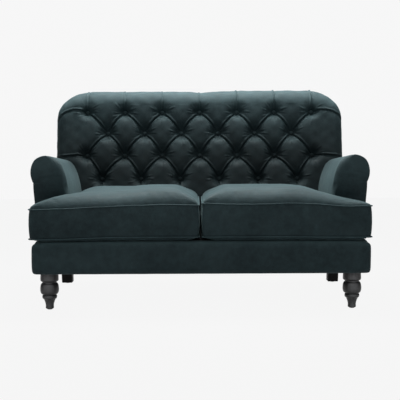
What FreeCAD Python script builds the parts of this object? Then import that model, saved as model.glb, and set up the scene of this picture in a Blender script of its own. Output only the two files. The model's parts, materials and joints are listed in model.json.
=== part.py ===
import FreeCAD
import Part
import math
import os

# A two seat button back sofa. Millimetres: X to the right, Y to the back, Z up, and the
# origin on the floor under the middle of the whole sofa.

# Overall size
overall_width = 1520.0
overall_depth = 930.0
overall_height = 1000.0
half_width = overall_width / 2
rear_y = overall_depth / 2
front_y = -overall_depth / 2

# Clearances and tool overrun
overrun = 40.0
fit_gap = 0.3
cushion_play = 1.5
bore_gap = 0.15
dust_gap = 1.0

# Legs
leg_height = 162.0
glide_thickness = 3.0
glide_radius = 11.0
glide_pin_radius = 2.0
glide_pin_length = 14.0
front_leg_inset = 99.0
front_leg_x = half_width - front_leg_inset
front_leg_y = -380.0
collar_radius = 39.6
collar_height = 28.0
neck_radius = 31.0
neck_drop = 33.5
bulb_radius = 40.7
bulb_drop = 64.0
waist_radius = 28.4
waist_drop = 86.5
ring_radius = 32.2
ring_drop = 95.5
ring_end_radius = 23.4
ring_end_drop = 108.0
ankle_radius = 17.2
ankle_drop = 140.0
foot_radius = 17.8
foot_round = 4.0
collar_round = 7.0
rear_leg_inset = 34.0
rear_leg_outer_x = half_width - rear_leg_inset
rear_leg_width = 54.0
rear_leg_top_width = 84.0
rear_leg_straight_height = 50.0
rear_leg_top_front_y = 316.0
rear_leg_top_depth = 66.0
rear_leg_foot_front_y = 350.0
rear_leg_foot_depth = 48.0
rear_leg_edge = 3.0
bolt_radius = 4.0
bolt_depth_in_leg = 45.0
rear_bolt_inset = 62.0
rear_bolt_x = rear_leg_outer_x - rear_bolt_inset
rear_bolt_y = 338.0

# Timber frame
frame_inset = 42.0
frame_half_width = half_width - frame_inset
rail_height = 118.0
rail_thickness = 28.0
front_wadding = 15.0
side_wadding = 9.0
cover_thickness = 3.0
base_cover_front_y = -451.0
base_rear_y = 395.0
base_corner = 25.0
base_top_round = 16.0
base_turn_under = 29.0
base_side_turn = 14.0
post_depth = 56.0
post_thickness = 35.0
outside_back_thickness = 6.0
block_leg = 128.0
block_height = 60.0
block_screw_radius = 2.5
block_screw_length = 52.0
block_screw_head_radius = 4.5
block_screw_head = 3.0
block_screw_level = 32.0
block_screw_share = 0.5
tee_flange_radius = 10.0
tee_flange = 1.6
tee_barrel_radius = 5.6
tee_barrel_length = 11.0
bolt_stick_out = 4.0
dowel_radius = 5.0
dowel_length = 48.0
dowel_low_share = 0.25
dowel_high_share = 0.75
centre_rail_width = 44.0
centre_rail_height = 70.0

# Seat platform
base_top_z = 302.0
spring_wire_radius = 1.8
spring_count = 8
spring_span_share = 0.86
spring_bends = 16
spring_half_width = 36.0
clip_width = 20.0
clip_depth = 14.0
clip_height = 5.3
clip_inset = 14.0
hessian_thickness = 0.8
felt_thickness = 12.0
deck_cloth_thickness = 1.6
deck_inset = 124.0
deck_half_width = half_width - deck_inset
deck_front_y = -395.0
deck_rear_y = 352.0

# Arms
arm_width = 168.0
arm_inner_x = half_width - arm_width
arm_front_y = -295.0
roll_radius = 75.0
roll_height = 670.0
arm_shoulder_angle = 26.0
arm_notch_z = 545.0
arm_rear_radius = 68.0
arm_rear_height = 648.0
arm_rear_section_y = 300.0
arm_pad_width = 48.0
arm_frame_inner_x = arm_inner_x + arm_pad_width
arm_rail_top_z = 600.0
arm_rail_thickness = 25.0
arm_tack_height = 45.0
arm_tack_thickness = 22.0
arm_tack_bottom_z = 330.0
facing_board_thickness = 9.0
facing_board_inset = 8.0
arm_piping_radius = 2.6
arm_lining_thickness = 4.0
inner_lining_thickness = 2.0
outside_arm_front_inset = 22.0
outside_arm_front_x = half_width - outside_arm_front_inset
outside_arm_rear_inset = 29.0
outside_arm_rear_x = half_width - outside_arm_rear_inset

# Tufted back
back_side_inset = 30.0
back_half_width = half_width - back_side_inset
back_front_y = 150.0
back_lean = 10.5
back_cover_thickness = 3.5
back_edge_round = 50.0
side_corner_radius = 132.0
top_corner_radius = 222.0
corner_split = 47.0
tuft_foam_thickness = 68.0
row_height_shares = (0.8366948, 0.6863403, 0.5262406, 0.3591801)
row_pitch_shares = (0.2610959, 0.2561644, 0.2610959, 0.2712329)
row_counts = (7, 6, 7, 6)
pleat_half_width = 64.0
pleat_depth = 27.0
pleat_lift = 1.0
tuft_radius = 71.0
tuft_depth = 35.0
tuft_seat_radius = 13.0
tuft_seat_wall = 2.6
edge_pleat_half_width = 46.0
edge_pleat_depth = 20.0
button_radius = 11.5
button_rim = 3.0
button_dome = 5.5
twine_radius = 1.2
twine_hole_radius = 1.7
toggle_radius = 7.0
toggle_thickness = 2.5
toggle_reach = 3.5
webbing_count = 8
webbing_width = 50.0
webbing_thickness = 1.5
top_rail_height = 152.0
top_rail_cover = 11.7888
top_rail_side_radius = 120.0
top_rail_top_radius = 210.0
tack_rail_height = 60.0
tack_rail_rise = 20.0
strap_lap = 12.0
centre_post_width = 60.0
back_rail_thickness = 28.0

# Seat cushions
cushion_piping_radius = 3.0
cushion_bottom_seam_z = 314.0
cushion_top_seam_z = 464.0
cushion_crown = 70.0
cushion_bulge = 3.5
cushion_skin = 2.4
cushion_corner_radius = 24.0
cushion_notch_radius = 10.0
cushion_side_inset = 22.0
cushion_ear_half_width = half_width - cushion_side_inset
cushion_rear_y = 140.0
cushion_inner_x = 7.5
under_round_share = 0.34
crown_corner_share = 0.8
cushion_under_inset = 36.0
crown_steps = 7
crown_front_share = 0.17
crown_rear_share = 0.30
crown_inner_share = 0.24
crown_outer_share = 0.20
crown_ear_share = 0.80
cushion_lift_slant_share = 0.55

# Sizes that follow from the ones above
rail_top_z = leg_height + rail_height
rail_inner_x = frame_half_width - rail_thickness
frame_front_y = base_cover_front_y + cover_thickness + front_wadding
base_half_width = frame_half_width + side_wadding + cover_thickness
front_rail_inner_y = frame_front_y + rail_thickness
post_inner_x = frame_half_width - post_thickness
clip_top_z = rail_top_z + clip_height
hessian_z = clip_top_z + fit_gap
felt_z = hessian_z + hessian_thickness + fit_gap
deck_cloth_z = felt_z + felt_thickness
deck_top_z = deck_cloth_z + deck_cloth_thickness
seat_z = base_top_z + fit_gap
base_cover_bottom_z = leg_height - cover_thickness
lean = math.radians(back_lean)
lean_sin = math.sin(lean)
lean_cos = math.cos(lean)
back_top_u = (overall_height - base_top_z - back_edge_round * (1 - lean_sin)) / lean_cos + back_edge_round
block_top_z = leg_height + block_height
arm_piping_y = arm_front_y + cover_thickness - arm_piping_radius
piping_reach = 2 * cushion_piping_radius + fit_gap
row_heights = [back_top_u * share for share in row_height_shares]
row_pitches = [back_half_width * share for share in row_pitch_shares]


def vec(x, y, z):
    return FreeCAD.Vector(x, y, z)


def box(x0, x1, y0, y1, z0, z1):
    return Part.makeBox(x1 - x0, y1 - y0, z1 - z0, vec(x0, y0, z0))


def prism(points, travel):
    wire = Part.makePolygon(points + points[:1])
    return Part.Face(wire).extrude(travel)


def rod(radius, start, end):
    travel = end - start
    return Part.makeCylinder(radius, travel.Length, start, travel)


# A solid whose faces point outwards, whichever way its outline ran.
def outward(solid):
    if solid.Volume < 0:
        solid.reverse()
    return solid


def flip(shape):
    return shape.mirror(vec(0, 0, 0), vec(1, 0, 0))


def line(a, b):
    return Part.LineSegment(a, b).toShape()


def arc(a, b, c):
    return Part.Arc(a, b, c).toShape()


def save(name, *solids):
    shape = solids[0] if len(solids) == 1 else Part.makeCompound(list(solids))
    shape.exportStep("parts/" + name + ".step")


def save_pair(name, right):
    save(name + "_left", flip(right))
    save(name + "_right", right)


# The front face of the back leans by back_lean. A point on it is given by x, by u up the
# slope from the seat line, and by n, the depth behind the face.
def face_point(x, u, n):
    y = back_front_y + u * lean_sin + n * lean_cos
    return vec(x, y, base_top_z + u * lean_cos - n * lean_sin)


face_normal = face_point(0, 0, 1) - face_point(0, 0, 0)

# The rear plane of the back runs from the base to the back's top edge, which is the
# rearmost point of the sofa. A point is given by x, by v up the slope and by m in front.
rear_top_z = base_top_z + (back_top_u - (rear_y - back_front_y) * lean_sin) / lean_cos
rake = math.atan((rear_y - base_rear_y) / (rear_top_z - base_top_z))
rake_sin = math.sin(rake)
rake_cos = math.cos(rake)
rear_slope = (rear_top_z - base_top_z) / rake_cos
post_top_rise = rear_slope - top_rail_height - top_rail_cover


def rear_point(x, v, m):
    y = base_rear_y + v * rake_sin - m * rake_cos
    return vec(x, y, base_top_z + v * rake_cos + m * rake_sin)


def rear_at_height(z, m):
    return rear_point(0, (z - base_top_z - m * rake_sin) / rake_cos, m)


frame_rear_y = rear_at_height(base_top_z, outside_back_thickness).y
post_front_y = rear_at_height(base_top_z, outside_back_thickness + post_depth).y
rear_rail_inner_y = frame_rear_y - rail_thickness


def rear_layer(m_front, m_back, v_low, v_high, half):
    corners = [
        rear_point(-half, v_low, m_front),
        rear_point(-half, v_low, m_back),
        rear_point(-half, v_high, m_back),
        rear_point(-half, v_high, m_front),
    ]
    return prism(corners, vec(2 * half, 0, 0))


def in_front_of_rear(m):
    depth = overall_depth
    height = overall_height + overrun
    return rear_layer(depth, m, -height, height, overall_width)


def behind_face(n):
    reach = overall_height + overrun
    corners = [
        face_point(-overall_width, -reach, n),
        face_point(-overall_width, -reach, n + overall_depth),
        face_point(-overall_width, reach, n + overall_depth),
        face_point(-overall_width, reach, n),
    ]
    return prism(corners, vec(2 * overall_width, 0, 0))


# Legs
def front_leg():
    top = leg_height

    def at(radius, drop):
        return vec(front_leg_x + radius, front_leg_y, top - drop)

    foot_z = top - glide_thickness
    under_bulb_radius = (bulb_radius + waist_radius) / 2 + collar_round / 2
    under_bulb_drop = (bulb_drop + waist_drop) / 2 + collar_round / 2
    edges = [
        line(at(0, 0), at(collar_radius, 0)),
        arc(
            at(collar_radius, 0),
            at(collar_radius + fit_gap, collar_height / 2),
            at(collar_radius - collar_round / 2, collar_height),
        ),
        line(at(collar_radius - collar_round / 2, collar_height), at(neck_radius, neck_drop)),
        arc(
            at(neck_radius, neck_drop),
            at(bulb_radius - collar_round / 2, (neck_drop + bulb_drop) / 2 - collar_round),
            at(bulb_radius, bulb_drop),
        ),
        arc(
            at(bulb_radius, bulb_drop),
            at(under_bulb_radius, under_bulb_drop),
            at(waist_radius, waist_drop),
        ),
        arc(
            at(waist_radius, waist_drop),
            at(ring_radius, ring_drop),
            at(ring_end_radius, ring_end_drop),
        ),
        arc(
            at(ring_end_radius, ring_end_drop),
            at((ring_end_radius + ankle_radius) / 2 - fit_gap, (ring_end_drop + ankle_drop) / 2),
            at(ankle_radius, ankle_drop),
        ),
        line(at(ankle_radius, ankle_drop), at(foot_radius, foot_z - foot_round)),
        line(at(foot_radius, foot_z - foot_round), at(foot_radius - foot_round, foot_z)),
        line(at(foot_radius - foot_round, foot_z), at(0, foot_z)),
        line(at(0, foot_z), at(0, 0)),
    ]
    leg = outward(Part.Face(Part.Wire(edges)).revolve(vec(front_leg_x, front_leg_y, 0), vec(0, 0, 1), 360))
    return leg.cut([leg_bolt_hole(front_leg_x, front_leg_y), glide_hole(front_leg_x, front_leg_y)])


def rear_leg():
    outer = rear_leg_outer_x
    inner_top = outer - rear_leg_top_width
    inner_foot = outer - rear_leg_width
    side = [
        vec(inner_top, rear_leg_top_front_y, leg_height),
        vec(inner_top, rear_leg_top_front_y + rear_leg_top_depth, leg_height),
        vec(inner_top, rear_leg_foot_front_y + rear_leg_foot_depth, glide_thickness),
        vec(inner_top, rear_leg_foot_front_y, glide_thickness),
    ]
    leg = prism(side, vec(rear_leg_top_width, 0, 0))
    near_y = rear_leg_top_front_y - overrun
    taper = [
        vec(inner_top - overrun, near_y, leg_height),
        vec(inner_top, near_y, leg_height),
        vec(inner_foot, near_y, rear_leg_straight_height),
        vec(inner_foot, near_y, -overrun),
        vec(inner_top - overrun, near_y, -overrun),
    ]
    leg = leg.cut(prism(taper, vec(0, 2 * overrun + 2 * rear_leg_top_depth, 0)))
    sole = [e for e in leg.Edges if e.BoundBox.ZMax < glide_thickness + rear_leg_edge]
    leg = leg.makeChamfer(rear_leg_edge, sole)
    return leg.cut([leg_bolt_hole(rear_bolt_x, rear_bolt_y), glide_hole(rear_glide_x(), rear_glide_y())])


def rear_glide_x():
    return rear_leg_outer_x - rear_leg_width / 2


def rear_glide_y():
    return rear_leg_foot_front_y + rear_leg_foot_depth / 2


def leg_bolt_hole(x, y):
    bottom = leg_height - bolt_depth_in_leg
    return rod(bolt_radius + bore_gap, vec(x, y, bottom), vec(x, y, leg_height + overrun))


def glide_hole(x, y):
    top = glide_thickness + glide_pin_length
    return rod(glide_pin_radius + bore_gap, vec(x, y, 0), vec(x, y, top))


def glide(x, y):
    disc = rod(glide_radius, vec(x, y, 0), vec(x, y, glide_thickness))
    disc = disc.makeFillet(glide_thickness / 3, [disc.Edges[2]])
    return disc.fuse(rod(glide_pin_radius, vec(x, y, 0), vec(x, y, glide_thickness + glide_pin_length)))


def hanger_bolt(x, y):
    bottom = leg_height - bolt_depth_in_leg
    return rod(bolt_radius, vec(x, y, bottom), vec(x, y, block_top_z + tee_flange + bolt_stick_out))


def tee_nut(x, y):
    flange = rod(tee_flange_radius, vec(x, y, block_top_z), vec(x, y, block_top_z + tee_flange))
    barrel = rod(tee_barrel_radius, vec(x, y, block_top_z - tee_barrel_length), vec(x, y, block_top_z))
    hole = rod(bolt_radius + bore_gap, vec(x, y, block_top_z - overrun), vec(x, y, block_top_z + overrun))
    return flange.fuse(barrel).cut(hole)


# Seat frame
def corner_block(corner_x, corner_y, way_y, bolt_x, bolt_y):
    points = [
        vec(corner_x, corner_y, leg_height),
        vec(corner_x - block_leg, corner_y, leg_height),
        vec(corner_x, corner_y + way_y * block_leg, leg_height),
    ]
    block = prism(points, vec(0, 0, block_height))
    bore = rod(
        bolt_radius + bore_gap,
        vec(bolt_x, bolt_y, leg_height - overrun),
        vec(bolt_x, bolt_y, block_top_z + overrun),
    )
    seat = rod(
        tee_barrel_radius + bore_gap,
        vec(bolt_x, bolt_y, block_top_z - tee_barrel_length),
        vec(bolt_x, bolt_y, block_top_z + overrun),
    )
    return block.cut([bore, seat])


# Each corner block is screwed into the two rails that it stands between.
def block_screw_lines(corner_x, corner_y, way_y):
    lines = []
    reach = block_screw_length * math.sqrt(0.5)
    middle = block_leg / 2
    z = leg_height + block_screw_level
    for share in (-block_screw_share, block_screw_share):
        x = corner_x - middle - share * middle
        y = corner_y + way_y * (middle - share * middle)
        head = vec(x, y, z)
        lines.append((head, vec(x + reach, y - way_y * reach, z)))
    return lines


def screw(head, tip):
    way = (tip - head).normalize()
    return rod(block_screw_radius, head, tip).fuse(
        Part.makeCone(block_screw_head_radius, block_screw_radius, block_screw_head, head, way)
    )


def screw_hole(head, tip):
    way = (tip - head).normalize()
    shank = rod(block_screw_radius + bore_gap, head - way * overrun, tip + way * bore_gap)
    sink = Part.makeCone(
        block_screw_head_radius + bore_gap, block_screw_radius + bore_gap, block_screw_head, head, way
    )
    clear = rod(block_screw_head_radius + bore_gap, head - way * overrun, head)
    return shank.fuse([sink, clear])


# Timber of the seat
def seat_rails():
    half = frame_half_width
    low = leg_height
    high = rail_top_z
    front = box(-half, half, frame_front_y, front_rail_inner_y, low, high)
    rear = box(-post_inner_x, post_inner_x, rear_rail_inner_y, frame_rear_y, low, high)
    side = box(rail_inner_x, half, front_rail_inner_y, post_front_y, low, high)
    centre = box(
        -centre_rail_width / 2,
        centre_rail_width / 2,
        front_rail_inner_y,
        rear_rail_inner_y,
        leg_height,
        leg_height + centre_rail_height,
    )
    return front, rear, side, centre


# Dowels pin the side rails to the front rail and to the back posts, and the centre rail
# to the front and rear rails.
def dowel_lines():
    lines = []
    half = dowel_length / 2
    side_x = (rail_inner_x + frame_half_width) / 2
    levels = (leg_height + rail_height * dowel_low_share, leg_height + rail_height * dowel_high_share)
    for z in levels:
        for x in (-side_x, side_x):
            for y in (front_rail_inner_y, post_front_y):
                lines.append((vec(x, y - half, z), vec(x, y + half, z)))
    z = leg_height + centre_rail_height / 2
    for y in (front_rail_inner_y, rear_rail_inner_y):
        for x in (-centre_rail_width / 4, centre_rail_width / 4):
            lines.append((vec(x, y - half / 2, z), vec(x, y + half / 2, z)))
    return lines


# Back frame
def back_post():
    front_m = outside_back_thickness + post_depth
    points = [
        vec(0, post_front_y, leg_height),
        vec(0, frame_rear_y, leg_height),
        rear_at_height(base_top_z, outside_back_thickness),
        rear_point(0, post_top_rise, outside_back_thickness),
        rear_point(0, post_top_rise, front_m),
        rear_at_height(base_top_z, front_m),
    ]
    return prism([vec(post_inner_x, p.y, p.z) for p in points], vec(post_thickness, 0, 0))


# A board in the rear slope, with the rounded top corners of the sofa's back.
def top_board(m_back, thickness, low, half, top, side_radius, top_radius):
    def at(x, v):
        return rear_point(x, v, m_back)

    corner = corner_points(half, top, side_radius, top_radius)
    right = [at(x, v) for x, v in corner]
    left = [at(-x, v) for x, v in corner]
    edges = [
        line(at(-half, low), at(half, low)),
        line(at(half, low), right[0]),
        arc(right[0], right[1], right[2]),
        arc(right[2], right[3], right[4]),
        line(right[4], left[4]),
        arc(left[4], left[3], left[2]),
        arc(left[2], left[1], left[0]),
        line(left[0], at(-half, low)),
    ]
    travel = rear_point(0, 0, m_back + thickness) - rear_point(0, 0, m_back)
    return Part.Face(Part.Wire(edges)).extrude(travel)


def back_rails():
    front_m = outside_back_thickness + post_depth
    back_m = front_m - back_rail_thickness
    tack_top = tack_rail_rise + tack_rail_height
    top = top_board(
        back_m,
        back_rail_thickness,
        post_top_rise,
        frame_half_width,
        post_top_rise + top_rail_height,
        top_rail_side_radius,
        top_rail_top_radius,
    )
    tack = rear_layer(front_m, back_m, tack_rail_rise, tack_top, post_inner_x)
    centre = rear_layer(front_m, back_m, tack_top, post_top_rise, centre_post_width / 2)
    return top, tack, centre


def back_straps():
    front_m = outside_back_thickness + post_depth + fit_gap
    low = tack_rail_rise + strap_lap
    high = post_top_rise + strap_lap
    strap = rear_layer(front_m + webbing_thickness, front_m, low, high, webbing_width / 2)
    reach = post_inner_x - webbing_width
    straps = []
    for i in range(webbing_count):
        x = reach * ((2 * i + 1) / webbing_count - 1)
        moved = strap.copy()
        moved.translate(vec(x, 0, 0))
        straps.append(moved)
    return straps


def hessian_back_m():
    return outside_back_thickness + post_depth + 2 * fit_gap + webbing_thickness


def back_hessian(arm_timbers):
    sheet = top_board(
        hessian_back_m(),
        hessian_thickness,
        tack_rail_rise,
        frame_half_width,
        post_top_rise + top_rail_height,
        top_rail_side_radius,
        top_rail_top_radius,
    )
    return sheet.cut(arm_timbers)


# The two arcs of a top corner: side_radius up to corner_split, then top_radius.
def corner_points(half, top, side_radius, top_radius):
    split = math.radians(corner_split)
    side_x = half - side_radius
    side_u = top - top_radius * (1 - math.sin(split)) - side_radius * math.sin(split)
    top_x = side_x - (top_radius - side_radius) * math.cos(split)
    top_u = top - top_radius

    def on_side(angle):
        return (side_x + side_radius * math.cos(angle), side_u + side_radius * math.sin(angle))

    def on_top(angle):
        return (top_x + top_radius * math.cos(angle), top_u + top_radius * math.sin(angle))

    quarter = math.pi / 2
    return [on_side(0), on_side(split / 2), on_side(split), on_top((split + quarter) / 2), on_top(quarter)]


# Back upholstery. The padded body is a leaning board with rounded top corners and a
# rounded front edge, and `skin` is how far inside the cover's face a layer lies.
def back_body(skin):
    half = back_half_width - skin
    corner = corner_points(half, back_top_u - skin, side_corner_radius - skin, top_corner_radius - skin)
    foot = -overrun

    def at(x, u):
        return face_point(x, u, skin)

    right = [at(x, u) for x, u in corner]
    left = [at(-x, u) for x, u in corner]
    outline = [
        line(at(-half, foot), at(half, foot)),
        line(at(half, foot), right[0]),
        arc(right[0], right[1], right[2]),
        arc(right[2], right[3], right[4]),
        line(right[4], left[4]),
        arc(left[4], left[3], left[2]),
        arc(left[2], left[1], left[0]),
        line(left[0], at(-half, foot)),
    ]
    body = Part.Face(Part.Wire(outline)).extrude(face_normal * rear_y)
    rim = [e for e in body.Edges if on_front_rim(e, skin, foot)]
    return body.makeFillet(back_edge_round - skin, rim)


def on_front_rim(edge, skin, foot):
    origin = face_point(0, 0, skin)
    up = face_point(0, 1, 0) - face_point(0, 0, 0)
    depths = [abs((v.Point - origin).dot(face_normal)) for v in edge.Vertexes]
    rises = [(v.Point - origin).dot(up) for v in edge.Vertexes]
    return max(depths) < fit_gap and max(rises) > foot / 2


def button_places():
    places = []
    for height, pitch, count in zip(row_heights, row_pitches, row_counts):
        places.append([((i - (count - 1) / 2) * pitch, height) for i in range(count)])
    return places


# Pleats run from each button to the two nearest ones in the row below.
def pleat_lines():
    rows = button_places()
    lines = []
    for upper, lower in zip(rows, rows[1:]):
        for start in upper:
            near = sorted(lower, key=lambda place: abs(place[0] - start[0]))
            reach = abs(near[0][0] - start[0]) + overrun
            lines += [(start, end) for end in near if abs(end[0] - start[0]) < reach]
    return lines


# A fold between two tufts: two arcs that meet in a cusp, pleat_lift above the face at
# their outer ends.
def fold_cutter(start, end, half, depth, skin):
    run = face_point(end[0], end[1], 0) - face_point(start[0], start[1], 0)
    across = face_normal.cross(run).normalize()
    origin = face_point(start[0], start[1], skin)
    deep = depth + pleat_lift
    radius = (half * half + deep * deep) / (2 * deep)
    middle = radius - math.sqrt(radius * radius - half * half / 4) - pleat_lift

    def at(t, n):
        return origin + across * t + face_normal * n

    outline = [
        line(at(-half, -overrun), at(-half, -pleat_lift)),
        arc(at(-half, -pleat_lift), at(-half / 2, middle), at(0, depth)),
        arc(at(0, depth), at(half / 2, middle), at(half, -pleat_lift)),
        line(at(half, -pleat_lift), at(half, -overrun)),
        line(at(half, -overrun), at(-half, -overrun)),
    ]
    return outward(Part.Face(Part.Wire(outline)).extrude(run))


# The hollow that a button is pulled into, with a flat seat under the button.
def tuft_cutter(x, u, skin):
    deep = tuft_depth + pleat_lift
    radius = (tuft_radius * tuft_radius + deep * deep) / (2 * deep)
    seat = tuft_seat_radius + (tuft_seat_wall if skin else 0)

    def fall(r):
        return radius - math.sqrt(radius * radius - (tuft_radius - r) ** 2) - pleat_lift

    def at(r, n):
        return face_point(x + r, u, n + skin)

    middle = (tuft_radius + seat) / 2
    outline = [
        line(at(0, -overrun), at(tuft_radius, -overrun)),
        line(at(tuft_radius, -overrun), at(tuft_radius, -pleat_lift)),
        arc(at(tuft_radius, -pleat_lift), at(middle, fall(middle)), at(seat, fall(seat))),
        line(at(seat, fall(seat)), at(seat, tuft_depth)),
        line(at(seat, tuft_depth), at(0, tuft_depth)),
        line(at(0, tuft_depth), at(0, -overrun)),
    ]
    return outward(Part.Face(Part.Wire(outline)).revolve(face_point(x, u, 0), face_normal, 360))


# Short pleats leave the top buttons for the top edge, the end buttons of two rows for the
# sides and the bottom buttons for the seat.
def edge_pleats(skin):
    rows = button_places()
    cutters = []
    for x, u in rows[0]:
        cutters.append(
            fold_cutter((x, u), (x, back_top_u), edge_pleat_half_width, edge_pleat_depth, skin)
        )
    for row in (rows[0], rows[2]):
        for x, u in (row[0], row[-1]):
            side = math.copysign(back_half_width, x)
            cutters.append(
                fold_cutter((x, u), (side, u), edge_pleat_half_width, edge_pleat_depth, skin)
            )
    for x, u in rows[3]:
        cutters.append(fold_cutter((x, u), (x, -overrun), edge_pleat_half_width, edge_pleat_depth, skin))
    return cutters


def tufted_body(skin):
    pleats = [
        fold_cutter(start, end, pleat_half_width, pleat_depth, skin) for start, end in pleat_lines()
    ]
    tufts = [tuft_cutter(x, u, skin) for row in button_places() for x, u in row]
    return back_body(skin).cut(pleats).cut(edge_pleats(skin)).cut(tufts)


# The cover, the two foams behind it and the panel that closes the rear.
def back_layers(arm_timbers):
    keep_out = [
        box(-overall_width, overall_width, -overall_depth, overall_depth, -overrun, seat_z),
        box(frame_half_width, overall_width, 0, overall_depth, 0, arm_notch_z),
        box(-overall_width, -frame_half_width, 0, overall_depth, 0, arm_notch_z),
    ]
    keep_out += arm_timbers
    inside = in_front_of_rear(outside_back_thickness)
    outer = tufted_body(0).common(inside).cut(keep_out)
    filling = tufted_body(back_cover_thickness).common(inside).cut(keep_out)
    frame_m = hessian_back_m() + hessian_thickness + fit_gap - outside_back_thickness
    frame_space = top_board(
        outside_back_thickness,
        frame_m,
        -overrun,
        frame_half_width + fit_gap,
        post_top_rise + top_rail_height + fit_gap,
        top_rail_side_radius + fit_gap,
        top_rail_top_radius + fit_gap,
    )
    wedge_space = behind_face(tuft_foam_thickness)
    holes = [twine_hole(x, u) for row in button_places() for x, u in row]
    cover = outer.cut(filling).cut(holes)
    tuft_foam = filling.cut(wedge_space).cut(holes)
    wedge_foam = filling.common(wedge_space).cut(frame_space).cut(holes)
    return cover, tuft_foam, wedge_foam


def outside_back():
    top = rear_slope + overrun
    points = [
        vec(0, base_rear_y, base_cover_bottom_z),
        vec(0, base_rear_y, base_top_z),
        rear_point(0, top, 0),
        rear_point(0, top, outside_back_thickness),
        rear_at_height(base_top_z, outside_back_thickness),
        vec(0, frame_rear_y, base_cover_bottom_z),
    ]
    panel = prism([vec(-back_half_width, p.y, p.z) for p in points], vec(2 * back_half_width, 0, 0))
    low = box(-overall_width, overall_width, 0, overall_depth, 0, base_top_z + overrun)
    return panel.common(back_body(0).fuse(low)).removeSplitter()


# Buttons and the twines that pull them in
def button_floor():
    return tuft_depth - fit_gap


def button(x, u):
    floor = button_floor()
    rim = floor - button_rim
    cap_radius = (button_radius ** 2 + button_dome ** 2) / (2 * button_dome)
    half_angle = math.asin(button_radius / cap_radius) / 2
    middle_r = cap_radius * math.sin(half_angle)
    middle_n = rim - button_dome + cap_radius * (1 - math.cos(half_angle))
    edges = [
        line(face_point(x, u, floor), face_point(x + button_radius, u, floor)),
        line(face_point(x + button_radius, u, floor), face_point(x + button_radius, u, rim)),
        arc(
            face_point(x + button_radius, u, rim),
            face_point(x + middle_r, u, middle_n),
            face_point(x, u, rim - button_dome),
        ),
        line(face_point(x, u, rim - button_dome), face_point(x, u, floor)),
    ]
    return outward(Part.Face(Part.Wire(edges)).revolve(face_point(x, u, 0), face_normal, 360))


def twine_end(x, u):
    start = face_point(x, u, 0)
    plane_m = hessian_back_m() + hessian_thickness
    rear_at = rear_point(0, 0, plane_m)
    rear_way = rear_point(0, 0, 1) - rear_point(0, 0, 0)
    return (rear_at - start).dot(rear_way) / face_normal.dot(rear_way)


def twine(x, u):
    far = twine_end(x, u) - toggle_reach
    cord = rod(twine_radius, face_point(x, u, button_floor()), face_point(x, u, far))
    toggle = rod(toggle_radius, face_point(x, u, far), face_point(x, u, far + toggle_thickness))
    return cord.fuse(toggle)


def twine_hole(x, u):
    far = twine_end(x, u)
    hole = rod(twine_hole_radius, face_point(x, u, 0), face_point(x, u, far))
    pocket_start = face_point(x, u, far - 2 * toggle_reach)
    pocket = rod(toggle_radius + fit_gap, pocket_start, face_point(x, u, far + overrun))
    return hole.fuse(pocket)


# Arms. A section has a straight inner side, a long curve that meets the roll at the
# shoulder, the roll itself, and a straight outer side below the roll.
def arm_curve(y, radius, height, inset):
    shoulder = math.radians(arm_shoulder_angle)
    roll_x = half_width - radius
    roll_z = height - radius
    shoulder_x = roll_x - radius * math.cos(shoulder)
    shoulder_z = roll_z + radius * math.sin(shoulder)
    long_radius = (shoulder_x - arm_inner_x) / (1 - math.cos(shoulder))
    long_x = arm_inner_x + long_radius
    long_z = shoulder_z - long_radius * math.sin(shoulder)

    def on_long(angle):
        r = long_radius - inset
        return vec(long_x - r * math.cos(angle), y, long_z + r * math.sin(angle))

    def on_roll(angle):
        r = radius - inset
        return vec(roll_x - r * math.cos(angle), y, roll_z + r * math.sin(angle))

    quarter = math.pi / 2
    notch = math.pi + math.asin((roll_z - arm_notch_z - inset) / (radius - inset))
    return [
        arc(on_long(0), on_long(shoulder / 2), on_long(shoulder)),
        arc(on_roll(shoulder), on_roll((shoulder + quarter) / 2), on_roll(quarter)),
        arc(on_roll(quarter), on_roll((quarter + notch) / 2), on_roll(notch)),
    ]


def arm_section(y, radius, height, inset, outer_x):
    curve = arm_curve(y, radius, height, inset)
    start = curve[0].Vertexes[0].Point
    end = curve[2].Vertexes[1].Point
    foot_in = vec(start.x, y, seat_z)
    foot_out = vec(outer_x, y, seat_z)
    under = vec(outer_x, y, end.z)
    edges = curve + [line(end, under), line(under, foot_out), line(foot_out, foot_in), line(foot_in, start)]
    return Part.Wire(edges)


def arm_body(inset):
    front = arm_section(arm_front_y + cover_thickness, roll_radius, roll_height, inset, frame_half_width)
    rear = arm_section(arm_rear_section_y, arm_rear_radius, arm_rear_height, inset, frame_half_width)
    body = Part.makeLoft([front, rear], True, True)
    return ahead_of_back(body, inset)


# An arm ends against the back, and fills the hollow beside the back's rounded front edge.
def ahead_of_back(shape, skin):
    return shape.cut([behind_face(back_edge_round - skin), back_body(-fit_gap - skin)])


def arm_upholstery():
    outer = arm_body(0)
    filling = arm_body(cover_thickness)
    board_rear = arm_front_y + cover_thickness + facing_board_thickness
    cavity = box(
        arm_frame_inner_x - inner_lining_thickness - fit_gap,
        frame_half_width,
        -overall_depth,
        overall_depth,
        -overrun,
        arm_rail_top_z,
    )
    ahead = box(0, overall_width, -overall_depth, board_rear, -overrun, overall_height)
    return outer.cut([filling, cavity]).removeSplitter(), filling.cut([cavity, ahead])


def arm_facing():
    inset = 2 * arm_piping_radius
    wire = arm_section(arm_front_y, roll_radius, roll_height, inset, outside_arm_front_x)
    return Part.Face(wire).extrude(vec(0, cover_thickness, 0))


def arm_facing_board():
    y = arm_front_y + cover_thickness
    wire = arm_section(y, roll_radius, roll_height, facing_board_inset, frame_half_width)
    return Part.Face(wire).extrude(vec(0, facing_board_thickness, 0))


def arm_piping():
    y = arm_piping_y
    path = Part.Wire(arm_curve(y, roll_radius, roll_height, arm_piping_radius))
    start = path.Edges[0].Vertexes[0].Point
    ring = Part.Wire(Part.makeCircle(arm_piping_radius, start, vec(0, 0, 1)))
    return path.makePipeShell([ring], True, False)


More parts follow.
